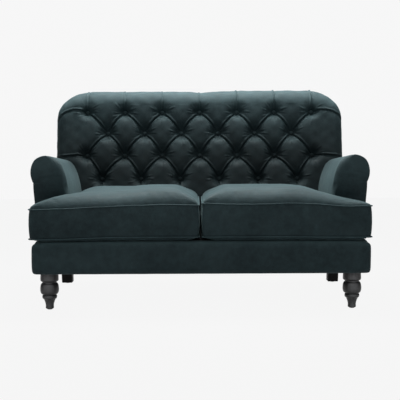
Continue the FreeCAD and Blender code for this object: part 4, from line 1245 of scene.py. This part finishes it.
    def piping(self, side, word, front):
        points = []
        for index in range(self.shoulder_mark + 13, self.notch_mark + 1):
            x, z, nx, nz = front[index]
            x, z = x - nx * self.piping_sink, z - nz * self.piping_sink
            points.append(self.settle(side, x, self.front_y + self.piping_back, z))
        piece = tube("arm_seam_piping_" + word, points, self.piping_radius, False)
        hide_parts("arm_piping_" + word)


# Y of the arm's frame in front, behind its padding.
arm_frame_y = -0.292


# The outside of the arm swells a little towards the fold under its roll.
def flare(z):
    return 0.0095 * smooth_step(0.430, 0.545, z)


def soften(piece):
    modifier = piece.modifiers.new("subdivision", "SUBSURF")
    modifier.levels = 1
    modifier.render_levels = 1


# Cuts a mesh along a plane, and takes away what lies beyond it where that is asked.
def slice_at(bm, place, normal, clear_outer=False):
    whole = bm.verts[:] + bm.edges[:] + bm.faces[:]
    cut = bmesh.ops.bisect_plane(
        bm, geom=whole, dist=0.00001, plane_co=place, plane_no=normal, clear_outer=clear_outer
    )
    return cut["geom_cut"]


# A cloth covered block: edges rounded, faces divided so that the cloth can give a little.
def padded_block(name, low, high, edges, cell, give, seed, finish, nodes, shape=None):
    bm = bmesh.new()
    bmesh.ops.create_cube(bm, size=1.0)
    middle = Vector([(a + b) / 2 for a, b in zip(low, high)])
    size = [b - a for a, b in zip(low, high)]
    bmesh.ops.scale(bm, vec=size, verts=bm.verts)
    bmesh.ops.translate(bm, vec=middle, verts=bm.verts)
    for axis in range(3):
        count = max(1, int(size[axis] / cell))
        normal = Vector((0.0, 0.0, 0.0))
        normal[axis] = 1.0
        for i in range(1, count):
            place = middle.copy()
            place[axis] = low[axis] + size[axis] * i / count
            slice_at(bm, place, normal)
    for vert in bm.verts:
        vert.co = round_corner(vert.co, low, high, *edges)
        if shape:
            vert.co = shape(vert.co)
        lift = give * ripple(vert.co.x, vert.co.y, vert.co.z, 0.13, seed)
        vert.co += (vert.co - middle).normalized() * lift
    bmesh.ops.recalc_face_normals(bm, faces=bm.faces)
    piece = place_piece(name, to_mesh(name, bm), finish)
    soften(piece)
    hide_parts(*nodes)
    return piece


# Draws a point of a block in so that its upright corners and its top and bottom edges are round.
def round_corner(place, low, high, side, top, bottom):
    cap = top if place.z > (low[2] + high[2]) / 2 else bottom
    inner_low = (low[0] + side, low[1] + side, low[2] + bottom)
    inner_high = (high[0] - side, high[1] - side, high[2] - top)
    core = Vector([min(max(place[i], inner_low[i]), inner_high[i]) for i in range(3)])
    off = place - core
    plan = math.hypot(off.x, off.y)
    if plan > 0.0 and side > 0.0:
        largest = max(abs(off.x), abs(off.y))
        off.x *= largest / plan
        off.y *= largest / plan
        plan = largest
    if cap > 0.0 and abs(off.z) > 0.0 and plan > side - cap:
        along = (plan - (side - cap)) / cap
        rise = abs(off.z) / cap
        length = math.hypot(along, rise)
        scale = max(along, rise) / length if length else 1.0
        new_plan = (side - cap) + cap * along * scale
        off.x *= new_plan / plan
        off.y *= new_plan / plan
        off.z *= scale
    return core + off


class SOFA_OT_cushions(bpy.types.Operator):
    """Swells the two seat cushions as cloth and lays the piping along their seams"""

    bl_idname = "sofa.cushions"
    bl_label = "Seat cushions"

    low_seam: bpy.props.FloatProperty(
        name="Low seam", description="Height of the lower piped seam", default=0.314, unit="LENGTH"
    )
    high_seam: bpy.props.FloatProperty(
        name="High seam", description="Height of the upper piped seam", default=0.464, unit="LENGTH"
    )
    piping_radius: bpy.props.FloatProperty(
        name="Piping", description="Radius of the seam piping", default=0.0026, unit="LENGTH"
    )
    hem_radius: bpy.props.FloatProperty(
        name="Hem", description="Radius of the fold under the lower seam", default=0.0022, unit="LENGTH"
    )

    hem_z = 0.3028
    # How far the hem lies inside the plan, and the piping outside it
    hem_inset = 0.0045
    piping_out = 0.0008
    # The plan of the right cushion: its sides in X and Y, and the radii of its corners
    plan_inner = 0.0075
    plan_main = 0.5842
    plan_ear = 0.7317
    plan_front = -0.4587
    plan_step = -0.3088
    plan_rear = 0.140
    corner_radius = 0.024
    inside_radius = 0.010
    corner_points = 8
    point_spacing = 0.012
    # For each side: the ear's reach, the sag in front, what it gains outwards, and from where to where
    sags = {-1: (0.0050, 0.0065, 0.0155, 0.27, 0.60), 1: (0.0030, 0.0030, 0.0120, 0.42, 0.70)}
    # For each side: how much flatter the crown gets, and from where to where
    flats = {-1: ((0.10, 0.20, 0.34), (0.05, 0.60, 0.68)), 1: ((0.50, 0.38, 0.70),)}
    # Frames and values of the cloth, and the most that it may rise
    frames = 20
    highest_rise = 0.0015
    cloth_values = {
        "quality": 3,
        "mass": 0.35,
        "tension_stiffness": 22.0,
        "compression_stiffness": 22.0,
        "shear_stiffness": 6.0,
        "bending_stiffness": 0.6,
        "use_pressure": True,
        "uniform_pressure_force": 4.0,
        "vertex_group_mass": "seams",
        "pin_stiffness": 1.0,
        "shrink_min": -0.012,
    }
    # Share of the cloth's own swelling that the finished cushion keeps
    swell_share = 0.4
    # Past this X the cushion's ear keeps clear of the arm's front, so it lifts straight out.
    ear_x = 0.594
    ear_rear_y = -0.3056
    # Centre of the upright corner where the two cushions meet
    corner_x = 0.0315
    corner_y = -0.4347

    def execute(self, context):
        sizes = context.scene.sofa_sizes
        start = self.start_mesh(frame["nodes"]["cushion_core_right"], sizes.cushion_voxel)
        self.swell(start, sizes.cushion_travel)
        cloth = start.data
        bpy.data.objects.remove(start)
        for side, word in ((-1, "left"), (1, "right")):
            body = "cushion_" + word
            mesh = cloth.copy()
            for vert in mesh.vertices:
                vert.co = self.sit(side, vert.co)
            if side < 0:
                mesh.flip_normals()
            mesh.name = "cushion_velvet_" + word
            piece = place_piece(mesh.name, mesh, "velvet", body=body)
            soften(piece)
            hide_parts("cushion_cover_" + word, "cushion_core_" + word)
            for height, level in ((self.low_seam, "low"), (self.high_seam, "high")):
                points = self.seam_points(side, height, self.piping_out)
                name = "cushion_piping_" + level + "_" + word
                cord = tube(name, points, self.piping_radius, True, body)
                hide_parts("cushion_piping_" + word)
            points = self.seam_points(side, self.hem_z, -self.hem_inset)
            points = [piece.closest_point_on_mesh(point)[1] for point in points]
            tube("cushion_hem_" + word, points, self.hem_radius, True, body)
        return {"FINISHED"}

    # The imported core, slightly smaller than the cover, as an even mesh for the cloth.
    def start_mesh(self, node, voxel):
        bm = bmesh.new()
        bm.from_mesh(node.data)
        bmesh.ops.remove_doubles(bm, verts=bm.verts, dist=0.0001)
        source = bpy.data.objects.new("cushion_start", to_mesh("cushion_start", bm))
        bpy.context.scene.collection.objects.link(source)
        voxels = source.modifiers.new("voxels", "REMESH")
        voxels.mode = "VOXEL"
        voxels.voxel_size = voxel
        voxels.use_smooth_shade = True
        even = source.modifiers.new("even", "SMOOTH")
        even.iterations = 4
        even.factor = 0.5
        bpy.context.view_layer.update()
        ready = source.evaluated_get(bpy.context.evaluated_depsgraph_get())
        mesh = bpy.data.meshes.new_from_object(ready)
        bpy.data.objects.remove(source)
        start = bpy.data.objects.new("cushion_cloth", mesh)
        bpy.context.scene.collection.objects.link(start)
        return start

    # Pressure swells the cloth between its seams, which hold it.
    def swell(self, start, travel):
        scene = bpy.context.scene
        rest = [vert.co.copy() for vert in start.data.vertices]
        held = start.vertex_groups.new(name="seams")
        for vert in start.data.vertices:
            gap = min(abs(vert.co.z - self.low_seam), abs(vert.co.z - self.high_seam))
            if gap < 0.0045:
                held.add([vert.index], 1.0, "REPLACE")
            elif vert.co.z < self.low_seam - 0.007:
                held.add([vert.index], 0.85, "REPLACE")
        cloth = start.modifiers.new("cloth", "CLOTH")
        for label, value in self.cloth_values.items():
            setattr(cloth.settings, label, value)
        cloth.settings.effector_weights.gravity = 0.0
        cloth.point_cache.frame_start = 1
        cloth.point_cache.frame_end = self.frames
        for number in range(1, self.frames + 1):
            scene.frame_set(number)
        ready = start.evaluated_get(bpy.context.evaluated_depsgraph_get())
        moved = [vert.co.copy() for vert in ready.data.vertices]
        start.modifiers.clear()
        scene.frame_set(1)
        for vert, before, after in zip(start.data.vertices, rest, moved):
            step = after - before
            if step.length > travel:
                step *= travel / step.length
            step.z = min(step.z, self.highest_rise)
            vert.co = before + self.swell_share * step

    # Where a point of a cushion comes to lie: seats sag, and the outer front corners droop.
    def sit(self, side, place):
        x, y = self.tighten(abs(place.x), place.y)
        z = place.z
        ear_out, sag, gain, sag_from, sag_to = self.sags[side]
        x += ear_out * smooth_step(0.66, 0.72, x)
        if x > self.ear_x:
            y = min(y, self.ear_rear_y)
        front = 1.0 - smooth_step(-0.36, -0.18, y)
        height = min(1.0, max(0.0, (z - 0.325) / (self.high_seam - 0.325)))
        drop = (sag + gain * smooth_step(sag_from, sag_to, x)) * front
        flat = sum(share * smooth_step(low, high, x) for share, low, high in self.flats[side])
        flat += 0.16 * (1.0 - smooth_step(0.05, 0.12, x))
        crown = max(0.0, z - self.high_seam)
        side_seam = 0.0020 * math.sin(x * 17.0 + side) * front
        lift = -drop * height - flat * crown + side_seam * height
        # The lower panel rolls under: its seam rides up a little and its edges draw in.
        near = 1.0 - smooth_step(-0.43, -0.37, y)
        under = min(1.0, max(0.0, (self.low_seam - z) / (self.low_seam - 0.3025)))
        rise = 0.0062 * near * (1.0 - smooth_step(0.318, 0.380, z)) * (1.0 - under)
        rise *= 1.0 - smooth_step(0.36, 0.62, x) * (1.2 if side < 0 else 0.5)
        lift += rise - 0.0080 * under * near
        draw = under * near
        inner = 1.0 - smooth_step(0.02, 0.10, x)
        outer = smooth_step(0.64, 0.72, x)
        x += 0.017 * draw * inner - 0.017 * draw * outer
        y += 0.006 * draw
        give = 0.0014 * ripple(place.x, y, z, 0.210, 5.1 + side)
        give += 0.0007 * ripple(place.x, y, z, 0.075, 1.9 + side)
        give *= smooth_step(0.303, 0.330, z)
        return Vector((side * x, y + 0.3 * give, z + lift + 0.6 * give))

    # The upright corner where the two cushions meet is nearly square.
    def tighten(self, x, y):
        off_x, off_y = self.corner_x - x, self.corner_y - y
        if off_x <= 0.0 or off_y <= 0.0:
            return x, y
        away = math.hypot(off_x, off_y)
        scale = (abs(off_x / away) ** 5 + abs(off_y / away) ** 5) ** -0.2
        return self.corner_x - off_x * scale, self.corner_y - off_y * scale

    # The points of a seam at some height, out by some length from the cover.
    def seam_points(self, side, height, out):
        return [self.sit(side, Vector((side * x, y, height))) for x, y in self.outline(height, out)]

    # The right cushion's plan: a T whose ear reaches out in front of the arm, with round corners.
    def outline(self, z, out):
        # The rear side leans with the back, but by less.
        slant = (z - 0.302) * math.tan(math.radians(10.5)) * 0.55
        inner, main, ear = self.plan_inner - out, self.plan_main + out, self.plan_ear + out
        low, step, high = self.plan_front - out, self.plan_step + out, self.plan_rear + slant + out
        plan = ((inner, low), (ear, low), (ear, step), (main, step), (main, high), (inner, high))
        corners = [Vector(corner) for corner in plan]
        radii = [self.corner_radius + out] * 6
        radii[3] = self.inside_radius
        points = []
        for i, here in enumerate(corners):
            following = (i + 1) % 6
            back = (corners[i - 1] - here).normalized()
            ahead = (corners[following] - here).normalized()
            radius = radii[i]
            middle = here + (back + ahead) * radius
            for k in range(self.corner_points + 1):
                turn = math.pi / 2 * k / self.corner_points
                spot = middle - ahead * radius * math.cos(turn) - back * radius * math.sin(turn)
                points.append((spot.x, spot.y))
            start = here + ahead * radius
            end = corners[following] - ahead * radii[following]
            count = max(2, int((end - start).length / self.point_spacing))
            for k in range(1, count):
                spot = start.lerp(end, k / count)
                points.append((spot.x, spot.y))
        return points


class SOFA_OT_base(bpy.types.Operator):
    """Makes the padded base with its turned edge and the recess that holds the seat deck"""

    bl_idname = "sofa.base"
    bl_label = "Base and deck"

    # Radii of the upright corners, the top edges and the bottom edges
    base_edges = (0.025, 0.016, 0.006)
    deck_edges = (0.004, 0.003, 0.001)
    # How far the dust sheet hangs down at its middle
    sag = 0.0010

    def execute(self, context):
        low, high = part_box("base_cover")
        deck_low, deck_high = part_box("seat_deck_cloth")
        self.deck = (deck_high.x + 0.0006, deck_low.y - 0.0006, deck_high.y + 0.010)
        nodes = ["base_cover", "base_wadding"]
        piece = padded_block(
            "base_velvet", low, high, self.base_edges, 0.022, 0.0011, 2.9, "velvet", nodes, self.recess
        )
        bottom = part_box("seat_hessian")[0].z
        deck_low = Vector((deck_low.x, deck_low.y, bottom))
        nodes = ["seat_deck_cloth", "seat_felt", "seat_hessian"]
        piece = padded_block(
            "deck_cloth_pad", deck_low, deck_high, self.deck_edges, 0.045, 0.0004, 4.4,
            "platform_cloth", nodes
        )
        self.dust_sheet()
        return {"FINISHED"}

    # The front corners sink under the cushions' ears, and the deck has its recess.
    def recess(self, place):
        reach, front, rear = self.deck
        spot = Vector(place)
        if spot.x > 0.0:
            spot.x += 0.0050 * smooth_step(0.60, 0.73, spot.x)
        fold = smooth_step(0.650, 0.728, abs(spot.x)) * (1.0 - smooth_step(-0.40, -0.34, spot.y))
        spot.z -= 0.0100 * fold * smooth_step(0.270, 0.302, place.z)
        if spot.z > 0.290 and abs(spot.x) < reach + 0.012 and front - 0.012 < spot.y < rear:
            inside = smooth_step(-0.006, 0.006, min(reach + 0.006 - abs(spot.x), spot.y - front + 0.006))
            spot.z -= 0.016 * inside
        return spot

    def dust_sheet(self):
        low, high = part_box("dust_cover")
        size = high - low
        bm = bmesh.new()
        bmesh.ops.create_grid(bm, x_segments=56, y_segments=32, size=0.5)
        for vert in bm.verts:
            u, v = vert.co.x + 0.5, vert.co.y + 0.5
            drop = self.sag * math.sin(math.pi * u) * math.sin(math.pi * v)
            pull = 0.0003 * math.sin(u * 44.0) * math.exp(-min(v, 1.0 - v) / 0.05)
            z = max(low.z + 0.0012 - drop + pull, low.z)
            vert.co = Vector((low.x + size.x * u, low.y + size.y * v, z))
        piece = place_piece("dust_sheet", to_mesh("dust_sheet", bm), "dust_cloth")
        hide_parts("dust_cover")


class SOFA_OT_outside_panels(bpy.types.Operator):
    """Covers the outside of the arms and of the back with stretched velvet panels"""

    bl_idname = "sofa.outside_panels"
    bl_label = "Outside panels"

    # Radii of the upright corners, the top edges and the bottom edges
    arm_edges = (0.004, 0.004, 0.002)
    back_edges = (0.0025, 0.002, 0.002)
    # X of the frame under an arm's panel, and of the panel's outer face in front
    frame_x = 0.718
    facing_x = 0.7375
    # X, Z and radius of the side part and the top part of the back's upper corner
    side_corner = (0.607, 0.845, 0.121)
    top_corner = (0.5466, 0.779, 0.2095)
    corner_split = math.radians(47.0)

    def execute(self, context):
        for side, word in ((-1, "left"), (1, "right")):
            node = "outside_arm_" + word
            low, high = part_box(node)
            low, high = low + Vector((0, 0.0004, 0.0006)), high - Vector((0, 0.001, 0))
            self.side = side
            name = "outside_arm_velvet_" + word
            padded_block(
                name, low, high, self.arm_edges, 0.024, 0.0006, 3.3 + side, "velvet", [node], self.taper
            )
        low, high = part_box("outside_back")
        low, high = Vector((low.x, -0.0070, low.z)), Vector((high.x, 0.0, high.z - 0.001))
        name, nodes = "outside_back_velvet", ["outside_back"]
        padded_block(name, low, high, self.back_edges, 0.026, 0.0006, 6.1, "velvet", nodes, self.lean_back)
        return {"FINISHED"}

    # The panel's outer face draws in a little towards the back, as its frame does.
    def taper(self, place):
        along = place.y - arm_frame_y
        share = along / 0.706
        inner = self.frame_x + 0.0042 * smooth_step(0.006, 0.014, along)
        outer = self.facing_x - 0.0050 * share + flare(place.z) * (1.0 - 0.5 * share)
        x = inner + (outer - inner) * min(1.0, max(0.0, (abs(place.x) - self.frame_x) / 0.020))
        return Vector((self.side * x, place.y, place.z))

    def lean_back(self, place):
        s = bpy.context.scene.sofa_sizes
        x, z = abs(place.x), place.z
        if z > s.seat_line:
            x, z = self.inside_corner(x, z)
        y = s.back_rear_y + max(0.0, z - s.seat_line) * math.tan(s.back_rake) + place.y
        return Vector((math.copysign(x, place.x), y, z))

    def inside_corner(self, x, z):
        (side_x, side_z, side_radius), (top_x, top_z, radius) = self.side_corner, self.top_corner
        if z <= side_z or x <= top_x:
            return x, z
        if math.atan2(z - side_z, x - side_x) <= self.corner_split and x > side_x:
            top_x, top_z, radius = side_x, side_z, side_radius
        scale = min(1.0, radius / math.hypot(x - top_x, z - top_z))
        return top_x + (x - top_x) * scale, top_z + (z - top_z) * scale


class SOFA_OT_legs(bpy.types.Operator):
    """Turns the front legs"""

    bl_idname = "sofa.legs"
    bl_label = "Turned legs"

    place_x: bpy.props.FloatProperty(
        name="Leg X", description="From the middle to the leg's axis", default=0.661, unit="LENGTH"
    )
    place_y: bpy.props.FloatProperty(
        name="Leg Y", description="Y of the leg's axis", default=-0.380, unit="LENGTH"
    )
    top: bpy.props.FloatProperty(
        name="Top", description="Height of the leg's top", default=0.1618, unit="LENGTH"
    )

    turns = 56

    def execute(self, context):
        for side, word in ((-1, "left"), (1, "right")):
            bm = bmesh.new()
            verts = [bm.verts.new((radius, 0.0, self.top - drop)) for drop, radius in self.profile()]
            edges = [bm.edges.new(pair) for pair in zip(verts, verts[1:])]
            bmesh.ops.spin(
                bm, geom=verts + edges, cent=(0, 0, 0), axis=(0, 0, 1), angle=2 * math.pi,
                steps=self.turns, use_merge=True
            )
            bmesh.ops.remove_doubles(bm, verts=bm.verts, dist=doubles)
            bmesh.ops.recalc_face_normals(bm, faces=bm.faces)
            bmesh.ops.translate(bm, vec=(side * self.place_x, self.place_y, 0.0), verts=bm.verts)
            name = "turned_leg_" + word
            piece = place_piece(name, to_mesh(name, bm), "turned_wood")
            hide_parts("front_leg_" + word)
        return {"FINISHED"}

    # Drop from the top and radius, from the top's middle to the sole's middle.
    def profile(self):
        # The plain collar under the base
        points = [(0.0, 0.0), (0.0, 0.020), (0.0, 0.0366), (0.0004, 0.0376), (0.0012, 0.0382)]
        for i in range(1, 8):
            share = i / 7
            points.append((0.0012 + 0.0298 * share, 0.0382 + 0.0014 * math.sin(math.pi / 2 * share)))
        points += self.quarter_round(0.031, 0.0396, 0.0080, 0.0062, 7)
        # A narrow neck, the large bulb and a ring under it
        points += [(0.0396, 0.0318), (0.0404, 0.0312), (0.0418, 0.0310), (0.0436, 0.0310), (0.0446, 0.0312)]
        points += self.swell(0.0452, 0.0313, 0.0735, 0.0406, True)
        points += self.swell(0.0735, 0.0406, 0.0962, 0.0288, False)
        points += [(0.0970, 0.0285), (0.0980, 0.0286)]
        points += self.swell(0.0986, 0.0290, 0.1050, 0.0322, True)
        points += self.swell(0.1050, 0.0322, 0.1145, 0.0278, False)
        points += [(0.1154, 0.0262), (0.1164, 0.0256)]
        # The taper down to the foot, and the foot's round edge
        drop, radius = points[-1]
        for i in range(1, 13):
            share = i / 12
            way = (1.0 - share) ** 1.55
            points.append((drop + (0.1440 - drop) * share, 0.0174 + (radius - 0.0174) * way))
        points += [(0.1480, 0.0175), (0.1520, 0.0177), (0.1548, 0.0178)]
        points += self.quarter_round(0.1548, 0.0178, 0.0040, 0.0040, 5)
        return points + [(0.1588, 0.0070), (0.1588, 0.0)]

    # A rounded lower edge, some way down and some way in.
    def quarter_round(self, drop, radius, down, inwards, count):
        points = []
        for i in range(1, count + 1):
            turn = math.pi / 2 * i / count
            points.append((drop + down * math.sin(turn), radius - inwards * (1.0 - math.cos(turn))))
        return points

    # A curve between two heights: it leaves the first one fast when it rises, and slowly when it falls.
    def swell(self, drop, radius, end_drop, end_radius, rising):
        points = []
        for i in range(1, 11):
            share = i / 10
            way = math.sqrt(1.0 - (1.0 - share) ** 2.1) if rising else 1.0 - math.sqrt(1.0 - share ** 2.1)
            points.append((drop + (end_drop - drop) * share, radius + (end_radius - radius) * way))
        return points


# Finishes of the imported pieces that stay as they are
class SOFA_OT_inner_finishes(bpy.types.Operator):
    """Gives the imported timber, springs, linings, glides and buttons their finishes"""

    bl_idname = "sofa.inner_finishes"
    bl_label = "Inner finishes"

    def execute(self, context):
        for part in frame["record"]["subparts"]:
            node = frame["nodes"][part["node"]]
            node.data.materials.clear()
            node.data.materials.append(finishes[part["material_slot"]])
        return {"FINISHED"}


class SOFA_PT_panel(bpy.types.Panel):
    """Lists the steps that dress the sofa"""

    bl_idname = "SOFA_PT_panel"
    bl_label = "Button back sofa"
    bl_space_type = "VIEW_3D"
    bl_region_type = "UI"
    bl_category = "Sofa"

    def draw(self, context):
        for step in steps:
            self.layout.operator(step.bl_idname, text=step.bl_label)


steps = (
    SOFA_OT_stage,
    SOFA_OT_inner_finishes,
    SOFA_OT_tufted_back,
    SOFA_OT_arms,
    SOFA_OT_cushions,
    SOFA_OT_base,
    SOFA_OT_outside_panels,
    SOFA_OT_legs,
)
classes = (SofaSizes, SofaColours, StageSettings, *steps, SOFA_PT_panel)


def register():
    for item in classes:
        bpy.utils.register_class(item)
    bpy.types.Scene.sofa_sizes = bpy.props.PointerProperty(type=SofaSizes)
    bpy.types.Scene.sofa_colours = bpy.props.PointerProperty(type=SofaColours)
    bpy.types.Scene.sofa_stage = bpy.props.PointerProperty(type=StageSettings)


def unregister():
    del bpy.types.Scene.sofa_stage
    del bpy.types.Scene.sofa_colours
    del bpy.types.Scene.sofa_sizes
    for item in reversed(classes):
        bpy.utils.unregister_class(item)


def main():
    register()
    for step in steps:
        group, name = step.bl_idname.split(".")
        getattr(getattr(bpy.ops, group), name)()
    bpy.context.view_layer.update()


if __name__ == "__main__":
    main()
